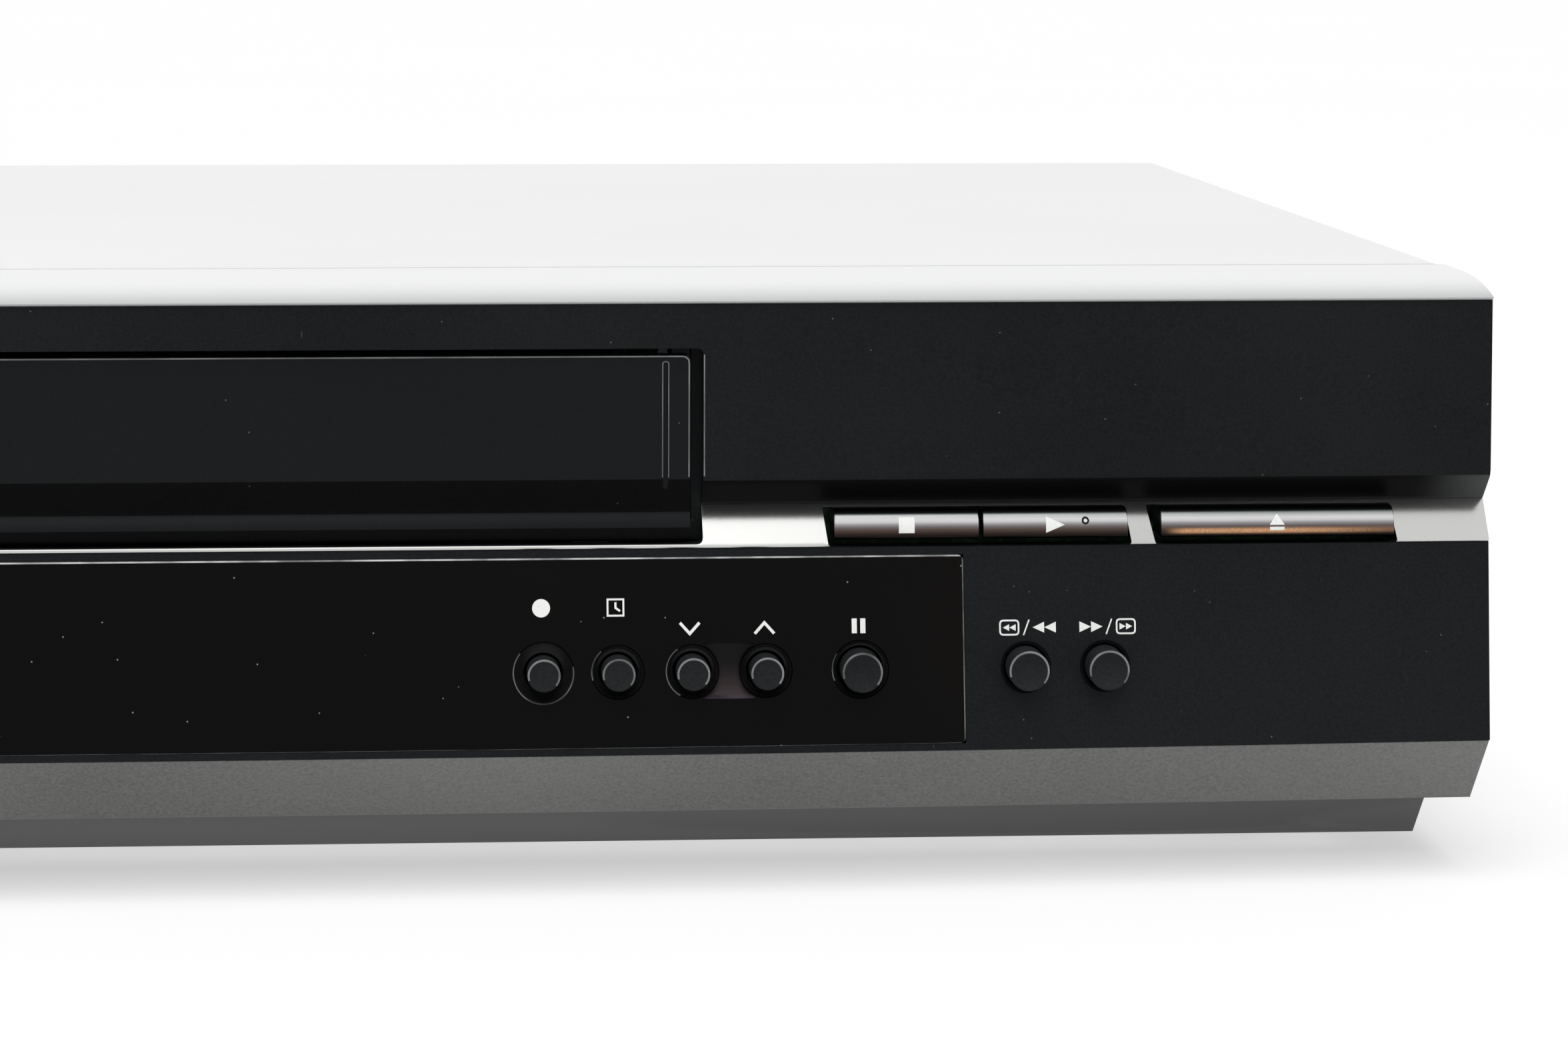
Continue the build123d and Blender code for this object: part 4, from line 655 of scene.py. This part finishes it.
# The colour is painted reflection set by height: near black at the foot, a bright band high on the rounded front,
# greyer again at the top.
level = (rise - 0.0517) * (1 / 0.0041) + (flakes - 0.5) * 0.035 + (slow - 0.5) * 0.05
bar_painted_reflections = level.node("ValToRGB", {"stops": (
    (0.0, 0.006), (0.14, (0.016, 0.012, 0.011)), (0.24, (0.040, 0.028, 0.024)), (0.34, (0.085, 0.060, 0.052)),
    (0.44, (0.15, 0.13, 0.13)), (0.53, (0.30, 0.29, 0.30)), (0.62, (0.60, 0.59, 0.60)), (0.70, 0.66),
    (0.78, 0.50), (0.87, (0.23, 0.25, 0.25)), (0.96, (0.12, 0.13, 0.13)))}, {0: level})
along = place_on(start, 0)
# A warm streak of painted reflection across the eject bar.
painted_warm_streak = rise - 0.0527 - (slow - 0.5) * 0.0002
painted_warm_streak = (1 - painted_warm_streak.maths("ABSOLUTE", painted_warm_streak).clip(0.00008, 0.00062)) * along.clip(0.1662, 0.1700) * (
    1 - along.clip(0.184, 0.203) * 0.75) * (flakes * 1.5)
bar_painted_reflections = painted_warm_streak.mix(bar_painted_reflections, (0.66, 0.36, 0.19))
bar_metal = surface((material, start), bar_painted_reflections, (slow - 0.5) * 0.1 + 0.22, flakes, 0.000004, Metallic=1.0)
bar_profile = [
    (52.0, 3.4), (51.97, 1.3), (51.7, 0.5), (51.15, -0.15), (50.4, -0.62), (49.6, -0.88), (48.8, -0.92),
    (48.2, -0.82), (47.85, -0.6), (47.7, -0.25), (47.7, 6.0), (52.0, 6.0)]


def bar_face(x, height):
    for (h0, d0), (h1, d1) in zip(bar_profile, bar_profile[1:]):
        if h1 <= height <= h0:
            return d0 + (d1 - d0) * (height - h0) / (h1 - h0)
    return bar_profile[5][1]


bars = {"stop_button": (118.1, 139.3), "play_button": (139.9, 161.2), "eject_button": (166.1, 200.6),
        "power_button": (-200.6, -166.1)}
for name, (left, right) in bars.items():
    bar = bmesh.new()
    extruded_x(bar, bar_profile, left, right)
    middle = (left + right) / 2
    tube(bar, [[spot(x, depth, height) for x, height in rectangle(middle - 3, middle + 3, 48.7, 51.1)]
               for depth in (5.9, 7.2)])
    edged(piece(name + "_bar", bar, name, bar_metal, (name,)), 0.18)


def sign(name, outlines, face, body, material, slice_at=0.25, lift=0.03):
    """Flat marks, a few hundredths thick, from outlines of (x, height) laid on a face: printed signs, and thin
    strips of painted highlight.
    """
    bm = bmesh.new()
    for outline in outlines:
        bm.faces.new([bm.verts.new((x, 0, z)) for x, z in outline])
    levels = [v.co.z for v in bm.verts]
    level = math.floor(min(levels) / slice_at) * slice_at
    while level < max(levels):
        bmesh.ops.bisect_plane(
            bm, geom=[*bm.verts, *bm.edges, *bm.faces], plane_co=(0, 0, level), plane_no=(0, 0, 1))
        level += slice_at
    grown = bmesh.ops.extrude_face_region(bm, geom=list(bm.faces))["geom"]
    front = {v for v in grown if isinstance(v, bmesh.types.BMVert)}
    for v in bm.verts:
        x, z = v.co.x, v.co.z
        v.co = spot(x, face(x, z) + (-lift if v in front else lift), z)
    return piece(name, bm, body, material)


material, start = new_material("printed_white")
ink = start.noise(2600, 3.0)
printed_white = surface((material, start), ink.clip(0.2, 0.45).mix(0.60, (0.84, 0.85, 0.83)),
                        ink * 0.2 + 0.42, ink, 0.000004)


def ribbon(points, width):
    """Quads along a run of points, mitred where it bends."""
    vectors = [Vector(point) for point in points]
    closed_run = (vectors[0] - vectors[-1]).length < 1e-6
    if closed_run:
        vectors.pop()
    count, offsets = len(vectors), []
    for i, here in enumerate(vectors):
        before = vectors[i - 1] if closed_run or i else None
        after = vectors[(i + 1) % count] if closed_run or i < count - 1 else None
        first = (here - before).normalized() if before is not None else (after - here).normalized()
        second = (after - here).normalized() if after is not None else first
        normal = (first + second).orthogonal().normalized()
        offsets.append(normal * (width / 2 / max(0.3, math.sqrt((1 + first.dot(second)) / 2))))
    pairs = [(v + o, v - o) for v, o in zip(vectors, offsets)]
    if closed_run:
        pairs.append(pairs[0])
    return [[a[0], b[0], b[1], a[1]] for a, b in zip(pairs, pairs[1:])]


power_arc = [(-183.25 + 0.95 * math.sin(a), 49.6 + 0.95 * math.cos(a))
             for a in (math.radians(38 + 284 * i / 24) for i in range(25))]
for word, outlines in {
        "stop": [rectangle(127.54, 129.84, 48.66, 50.92)],
        "play": [[(149.13, 48.56), (151.88, 49.73), (149.13, 50.9)]],
        "eject": [[(182.12, 49.5), (184.34, 49.5), (183.23, 51.05)], rectangle(182.16, 184.3, 48.72, 49.2)],
        "power": [*ribbon(power_arc, 0.24), rectangle(-183.37, -183.13, 49.75, 50.95)],
}.items():
    sign(word + "_sign", outlines, bar_face, word + "_button", printed_white)
dimple = ring_of(154.94, 50.3, 0.42)
sign("play_dimple", ribbon([*dimple, dimple[0]], 0.26), bar_face, "play_button", satin_black,
     0.15, 0.04)
sign("play_dot", [ring_of(154.98, 50.27, 0.17)], bar_face, "play_button", printed_white,
     0.1, 0.06)

# ---- round buttons
# Seven small black caps stand in their dishes; the three larger ones have a hollow front for the
# finger. Behind the panel each has a collar and a stem to its switch.
cap_black = moulded("cap_black", (0.013, 0.0145, 0.015), (0.024, 0.026, 0.027), 0.34, 0.000004, 0.3,
                    Specular_IOR_Level=0.04)
cap_rim_highlight = edge_highlight("cap_rim_highlight", (0.025, 0.027, 0.028), (0.22, 0.23, 0.235), 0.15)
for name, (x, cap, _, end) in round_buttons.items():
    sink = 0.85 if cap > 2.6 else 0.22
    bm = bmesh.new()
    turned_solid(bm, x, row, [
        (0.05, end + sink + 0.04), (cap * 0.35, end + sink), (cap * 0.65, end + sink * 0.6),
        (cap - 0.30, end + 0.05), (cap - 0.22, end), (cap - 0.06, end + 0.03), (cap, end + 0.12),
        (cap, 2.4), (cap + 1.0, 2.4), (cap + 1.0, 3.4), (1.6, 3.4), (1.6, 7.2)], 64)
    # Rim faces all round but the bottom take a painted highlight.
    for face in bm.faces:
        middle = face.calc_center_median() * 1000 - spot(x, 0, row) * 1000
        turn = math.degrees(math.atan2(middle.z, middle.x)) % 360
        rim = cap - 0.27 < math.hypot(middle.x, middle.z) < cap - 0.02 and middle.y < end + 0.1
        face.material_index = int(rim and not 198 < turn < 318)
    piece(name + "_cap", bm, name, cap_black, (name,), angle=50).data.materials.append(cap_rim_highlight)

# ---- printed signs of the lower panel
# The usual tape signs are printed in white over the round buttons: record, timer clock, channel down
# and up, pause, and rewind and forward, each with its boxed search sign. There is no lettering.
# Thin strips of painted highlight along the door's top and side edges, the opening's two ends and the slot's rim.
door_highlight_line = edge_highlight("door_highlight_line", (0.075, 0.08, 0.082), (0.20, 0.205, 0.21), 0.16)


def door_front(x, height):
    return 0.6 if height > 56.6 else 1.3 - (height - 51.4) * 0.1 if height > 51.8 else 0.95


for side_, word in ((-1, "left"), (1, "right")):
    edge_path = [(side_ * 96.98, 56.6), (side_ * 96.98, 73.6), (side_ * 96.88, 74.08), (side_ * 96.5, 74.46),
                 (side_ * 96.0, 74.56), (0.0, 74.56)]
    sign("door_edge_" + word, ribbon(edge_path, 0.2), door_front, "cassette_door", door_highlight_line, 3.0)
    near, far = sorted((side_ * 99.02, side_ * 99.2))
    sign("opening_edge_" + word, [rectangle(near, far, 57.2, 74.9)], face_depth, "case", door_highlight_line,
         3.0)
slot_bend = softened([(93.12, 60.0), (93.12, 73.8), (94.0, 73.8), (94.0, 60.0)], 0.4, closed=False)
sign("slot_edge", ribbon([(93.12, 56.0), *slot_bend, (94.0, 56.0)], 0.16), door_front, "cassette_door",
     edge_highlight("slot_highlight_line", 0.07, 0.14), 3.0)


def arrow(x, z, width, height, way):
    """A solid triangle that points left (-1) or right (1)."""
    tip, foot = x + way * width / 2, x - way * width / 2
    return [(foot, z - height / 2), (tip, z), (foot, z + height / 2)][::way]


clock = rectangle(84.97, 87.27, 37.21, 39.51)
for word, outlines in {
        "record": [ring_of(75.33, 38.36, 1.3)],
        "timer": [*ribbon([*clock, clock[0]], 0.26), *ribbon([(86.12, 39.1), (86.12, 38.3), (86.78, 37.85)], 0.3)],
        "channel_down": ribbon([(95.45, 36.1), (96.87, 34.55), (98.29, 36.1)], 0.42),
        "channel_up": ribbon([(106.33, 34.45), (107.75, 36.0), (109.17, 34.45)], 0.42),
        "pause": [rectangle(120.5, 121.25, 34.35, 36.45), rectangle(121.75, 122.5, 34.35, 36.45)],
}.items():
    sign(word + "_sign", outlines, on_window, "case", printed_white)
for name, box_x, slash_x, arrow_x, way in (
        ("rewind_sign", 143.63, 146.13, 148.78, -1), ("forward_sign", 160.83, 158.33, 155.68, 1)):
    z = 34.87
    box_line = softened(rectangle(box_x - 1.36, box_x + 1.36, z - 1.02, z + 1.02), 0.5, 3)
    sign(name, [
        *ribbon([*box_line, box_line[0]], 0.24),
        arrow(box_x - 0.48, z, 0.92, 0.95, way), arrow(box_x + 0.48, z, 0.92, 0.95, way),
        *ribbon([(slash_x - 0.42, z - 1.1), (slash_x + 0.42, z + 1.1)], 0.2),
        arrow(arrow_x - 0.86, z, 1.7, 1.55, way), arrow(arrow_x + 0.86, z, 1.7, 1.55, way),
    ], face_depth, "case", printed_white)

# ---- top trim
# The silver crown over the front is a painted moulding that rounds over to a thin front edge; a fine
# seam parts it from the cover, with a small notch on each side where the cover hooks in.
silver_paint = lacquered("silver_paint", (0.78, 0.785, 0.78), (0.86, 0.865, 0.86), 0.42, 0.2, 0.05)
material, start = new_material("crown_paint_and_painted_shade")
flakes, rise = start.noise(7800, 1.0), place_on(start, 2)
# Painted shade: the silver darkens to grey towards the front edge, where the crown rolls over to face forward.
crown_paint_and_painted_shade = surface((material, start), (rise.clip(0.0858, 0.0889) + (flakes - 0.5) * 0.12).mix(
    (0.40, 0.415, 0.412), (0.83, 0.84, 0.83)), flakes * 0.1 + 0.38, flakes, 0.000004, Metallic=0.2)
crown = bmesh.new()
bowed_loft(crown, [
    (82.3, 0.75, 1.0), (82.45, 0.25, 1.0), (82.75, 0.1, 1.0), (83.27, 1.9, 1.0), (83.8, 4.4, 0.9),
    (84.23, 7.0, 0.8), (84.66, 10.8, 0.7), (84.88, 15.0, 0.5), (84.98, 20.0, 0.2), (85.0, 24.0, 0),
    (85.0, 29.55, 0), (82.3, 29.55, 0)])
crown = cut(crown, *(cutter(rectangle(x - 1.7, x + 1.7, 84.0, 88.0), 29.4, 34.0) for x in (-100.0, 100.0)))
edged(piece("crown", crown, "case", crown_paint_and_painted_shade, ("top_trim",)), 0.08)

# ---- top cover
# The cover is one sheet of steel bent down over both sides, painted silver, with louvres in the top
# rear of its sides, pressed dimples for its side screws and a narrow lip behind.
def finished(material, *names, round_by=0.0):
    """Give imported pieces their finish, and round their edges by this many millimetres."""
    for name in names:
        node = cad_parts[name]
        for place in node.material_slots:
            place.material = material
        if not node.material_slots:
            node.data.materials.append(material)
        if round_by:
            weld = node.modifiers.new("weld", "WELD")
            weld.merge_threshold = 1e-6
            edged(node, round_by)


finished(silver_paint, "top_cover", round_by=0.10)

# ---- lower trim
# The chin under the front slopes back to the plinth. It is a separate moulding in grey metallic
# lacquer, clipped to the frame.
grey_lacquer = lacquered("grey_lacquer", (0.074, 0.075, 0.073), (0.190, 0.192, 0.186), 0.40, 0.45, 0.14, 2100)
finished(grey_lacquer, "lower_trim", round_by=0.25)

# ---- main frame and feet
# The machine stands on a moulded frame of dark grey plastic; a thin zinc plate closes it below, and
# four rubber feet are set in it.
frame_grey = moulded("frame_grey", (0.040, 0.043, 0.041), (0.064, 0.067, 0.063), 0.50, 0.00002)
finished(frame_grey, "main_frame", round_by=0.25)


# Zinc plating shows crystals of slightly different shade over a fine rolled grain.
material, start = new_material("zinc")
crystals = start.node("TexVoronoi", values={"Vector": start.node("TexCoord", out=3), "Scale": 160.0}, out=1)
mottle = start.node("SeparateColor", values={0: crystals}) * 0.6 + start.noise(300, 2.0) * 0.4
zinc = surface((material, start), mottle.mix(0.42, 0.60), mottle * 0.14 + 0.28,
               start.noise(2400, 2.0, stretch=(1, 0.05, 1)), 0.000004, Metallic=1.0)
finished(zinc, "bottom_plate", "deck_plate", "tuner_can", round_by=0.10)
foot_rubber = moulded("foot_rubber", 0.020, 0.032, 0.72, 0.00003, 0.6)
finished(foot_rubber, "feet", round_by=0.5)

# ---- rear panel
# The back is a flat sheet of steel painted dark grey, with louvres and cut-outs for the sockets.
rear_paint = moulded("rear_paint", (0.030, 0.031, 0.032), (0.042, 0.043, 0.044), 0.48, 0.000018)
finished(rear_paint, "rear_panel", round_by=0.10)

# ---- case screws
# Pan-head screws with a cross recess hold the cover, at the back and in its side dimples, and the
# bottom plate.
material, start = new_material("screw_steel")
turn_marks = start.noise(3000, 2.0)
screw_steel = surface((material, start), turn_marks.mix(0.34, 0.52), turn_marks * 0.2 + 0.24, turn_marks,
                      0.000003, Metallic=1.0)


def screw(bm, place, axis, gauge, shank):
    """A screw whose head stands on place and points along axis, in metres."""
    head = bmesh.new()
    profile = [(1.4, -shank), (1.4, 0.0), (3.0, 0.0), (3.0, gauge * 0.45), (2.75, gauge * 0.75),
               (2.2, gauge * 0.93), (1.2, gauge), (0.05, gauge)]
    tube(head, [[Vector((u, v, z)) / 1000 for u, v in ring_of(0.0, 0.0, r, 32)] for r, z in profile])
    knives = []
    for long_x, long_y in ((1.6, 0.32), (0.32, 1.6)):
        knife = bmesh.new()
        slot_ = rectangle(-long_x, long_x, -long_y, long_y)
        tube(knife, [[Vector((x * share, y * share, z)) / 1000 for x, y in slot_]
                     for z, share in ((gauge - 0.85, 0.45), (gauge + 0.5, 1.15))])
        knives.append(knife)
    head = cut(head, *knives)
    head.transform(Matrix.Translation(place) @ Vector(axis).to_track_quat("Z", "Y").to_matrix().to_4x4())
    mesh = bpy.data.meshes.new("one_screw")
    head.to_mesh(mesh)
    head.free()
    bm.from_mesh(mesh)
    bpy.data.meshes.remove(mesh)


screws = bmesh.new()
for x in (-186.0, 0.0, 186.0):
    screw(screws, (x / 1000, 0.1343, 0.0848), (0, 1, 0), 1.5, 7.8)
for side_ in (-1, 1):
    for depth in (90.0, 220.0):
        screw(screws, (side_ * 0.2132, (depth - 135.2) / 1000, 0.0192), (side_, 0, 0), 1.2, 6.5)
    for y in (-0.0952, 0.1108):
        screw(screws, (side_ * 0.15, y, 0.0042), (0, 0, -1), 1.5, 4.0)
piece("case_screw_set", screws, "case", screw_steel, ("case_screws",))

# ---- sockets
# Nickel-plated jacks with a coloured collar for picture and sound, two 21-way sockets with their
# contacts, two aerial sockets on the tuner, and a two-pin inlet of black plastic.
material, start = new_material("nickel_plate")
brushed = start.noise(1800, 2.0)
nickel_plate = surface((material, start), brushed.mix((0.56, 0.54, 0.50), (0.70, 0.68, 0.64)),
                       brushed * 0.16 + 0.14, brushed, 0.000002, Metallic=1.0)
finished(nickel_plate, "front_jacks", "rear_jacks", "aerial_sockets", round_by=0.15)
socket_plastic = moulded("socket_plastic", 0.012, 0.020, 0.44, 0.000014, 0.3)
finished(socket_plastic, "scart_sockets", "mains_inlet", round_by=0.12)


def washer(name, x, height, outer, inner, near, far, colour):
    """A flat ring of coloured plastic about an axis along depth."""
    material, start = new_material(name + "_plastic")
    mottled = start.noise(900, 2.0)
    bm = bmesh.new()
    section = [(inner, near), (outer, near), (outer, far), (inner, far), (inner, near)]
    turned_solid(bm, x, height, section, 40, caps=False)
    tint = mottled.mix(tuple(0.8 * part for part in colour), colour)
    piece(name, bm, "case", surface((material, start), tint, mottled * 0.1 + 0.32, mottled, 0.000004))


yellow, white, red = (0.70, 0.45, 0.03), (0.72, 0.71, 0.68), (0.50, 0.02, 0.02)
for x, colour, word in zip(jack_x, (yellow, white, red), ("picture", "left_sound", "right_sound")):
    mouth = face_depth(x, row) + 0.4
    washer("front_" + word + "_ring", x, row, 3.5, 1.75, mouth - 0.25, mouth + 0.2, colour)
for x, colour, word in ((62.0, white, "left_sound"), (78.0, red, "right_sound")):
    washer("rear_" + word + "_ring", x, 20.0, 5.15, 4.2, 269.4, 270.2, colour)
contacts = bmesh.new()
for middle in (-44.0, 20.0):
    for height, shift in ((23.9, 1.8), (20.1, 0.0)):
        for i in range(10):
            x = middle - 17.5 + 3.6 * i + shift
            tongue = rectangle(x - 0.35, x + 0.35, height - 0.6, height + 0.6)
            prism(contacts, softened(tongue, 0.2, 2), 259.0, 267.6)
piece("scart_contacts", contacts, "case", nickel_plate)

# ---- cassette carriage
# Folded zinc-plated sheet: the holder that the tape drops into, its two sliders, and the brackets
# that guide them. A steel shaft with a nylon pinion at each end keeps both sides level; here the
# shaft takes the same white nylon finish as its pinions.
finished(zinc, "cassette_holder", "holder_sliders", "left_bracket", "right_bracket", round_by=0.08)


def nylon(name, dark, light, rough=0.45):
    material, start = new_material(name)
    milky, fine = start.noise(90, 2.0), start.noise(3500, 2.0)
    return surface((material, start), milky.mix(dark, light), fine * 0.16 + (rough - 0.08), fine, 0.000006)


nylon_white = nylon("nylon_white", (0.56, 0.55, 0.50), (0.70, 0.69, 0.64))
nylon_black = nylon("nylon_black", (0.010, 0.010, 0.011), (0.018, 0.018, 0.020), 0.38)
finished(nylon_white, "sync_shaft", "cam_gear", "clutch_pulley", round_by=0.05)

# ---- tape deck
# The pressed deck plate carries two reel tables, the tilted head drum, capstan and pinch roller, and
# the loading posts on their cam; rubber drives the reels.
material, start = new_material("turned_alloy")
lathe = start.noise(2600, 2.0, stretch=(0.03, 0.03, 1))
turned_alloy = surface((material, start), lathe.mix(0.55, 0.72), lathe * 0.14 + 0.12, lathe, 0.000003,
                       Metallic=1.0)
finished(turned_alloy, "lower_drum", "upper_drum", "drum_rotor", "sound_head", round_by=0.15)
finished(screw_steel, "capstan", "erase_head", "door_spring")
finished(zinc, "idler_arm", "pinch_arm", "tension_arm", "supply_post", "takeup_post", "loading_motor",
         round_by=0.08)
finished(nylon_black, "supply_reel", "takeup_reel", round_by=0.10)
rubber = moulded("rubber", 0.008, 0.014, 0.66, 0.00002, 0.5)
finished(rubber, "idler_wheel", "drive_belt", "pinch_roller")

# ---- circuit boards and display
# Brown paper laminate with a green lacquer over its copper, dark moulded parts soldered on it, and the
# fluorescent display tube behind the window with the dark lens of the remote control's receiver.
def laminate(name, axis, way, top):
    """A board's finish: what stands on it, beyond top metres along an axis, is dark moulded plastic."""
    material, start = new_material(name)
    place = start.node("TexCoord", out=3)
    cell = start.node("TexVoronoi", {"feature": "DISTANCE_TO_EDGE"}, {"Vector": place, "Scale": 190.0})
    track, weave, lots = 1 - cell.clip(0.04, 0.09), start.noise(1500, 2.0), start.noise(45, 1.0)
    mounted = (start.node("SeparateXYZ", values={0: place}, out=axis) * way).clip(top, top + 0.0001)
    green = track.mix(weave.mix((0.012, 0.055, 0.022), (0.020, 0.075, 0.030)), (0.035, 0.13, 0.05))
    dark = lots.clip(0.35, 0.65).mix((0.014, 0.014, 0.015), (0.042, 0.040, 0.038))
    return surface((material, start), mounted.mix(green, dark), weave * 0.2 + 0.3, track * (1 - mounted), 0.00002)


finished(laminate("case_board_laminate", 2, 1, 0.01365), "main_board", "power_board")
finished(laminate("front_board_laminate", 1, -1, 0.12475), "front_board")
material, start = new_material("tube_glass")
film = start.noise(60, 2.0)
tube_glass = surface((material, start), film.mix((0.010, 0.018, 0.018), (0.016, 0.030, 0.028)),
                     film * 0.05 + 0.04, film, 0.00001, Coat_Weight=0.6)
finished(tube_glass, "display_tube", round_by=0.2)
lens_dark = nylon("lens_dark", (0.012, 0.002, 0.003), (0.020, 0.004, 0.005), 0.14)
finished(lens_dark, "infrared_receiver", round_by=0.1)
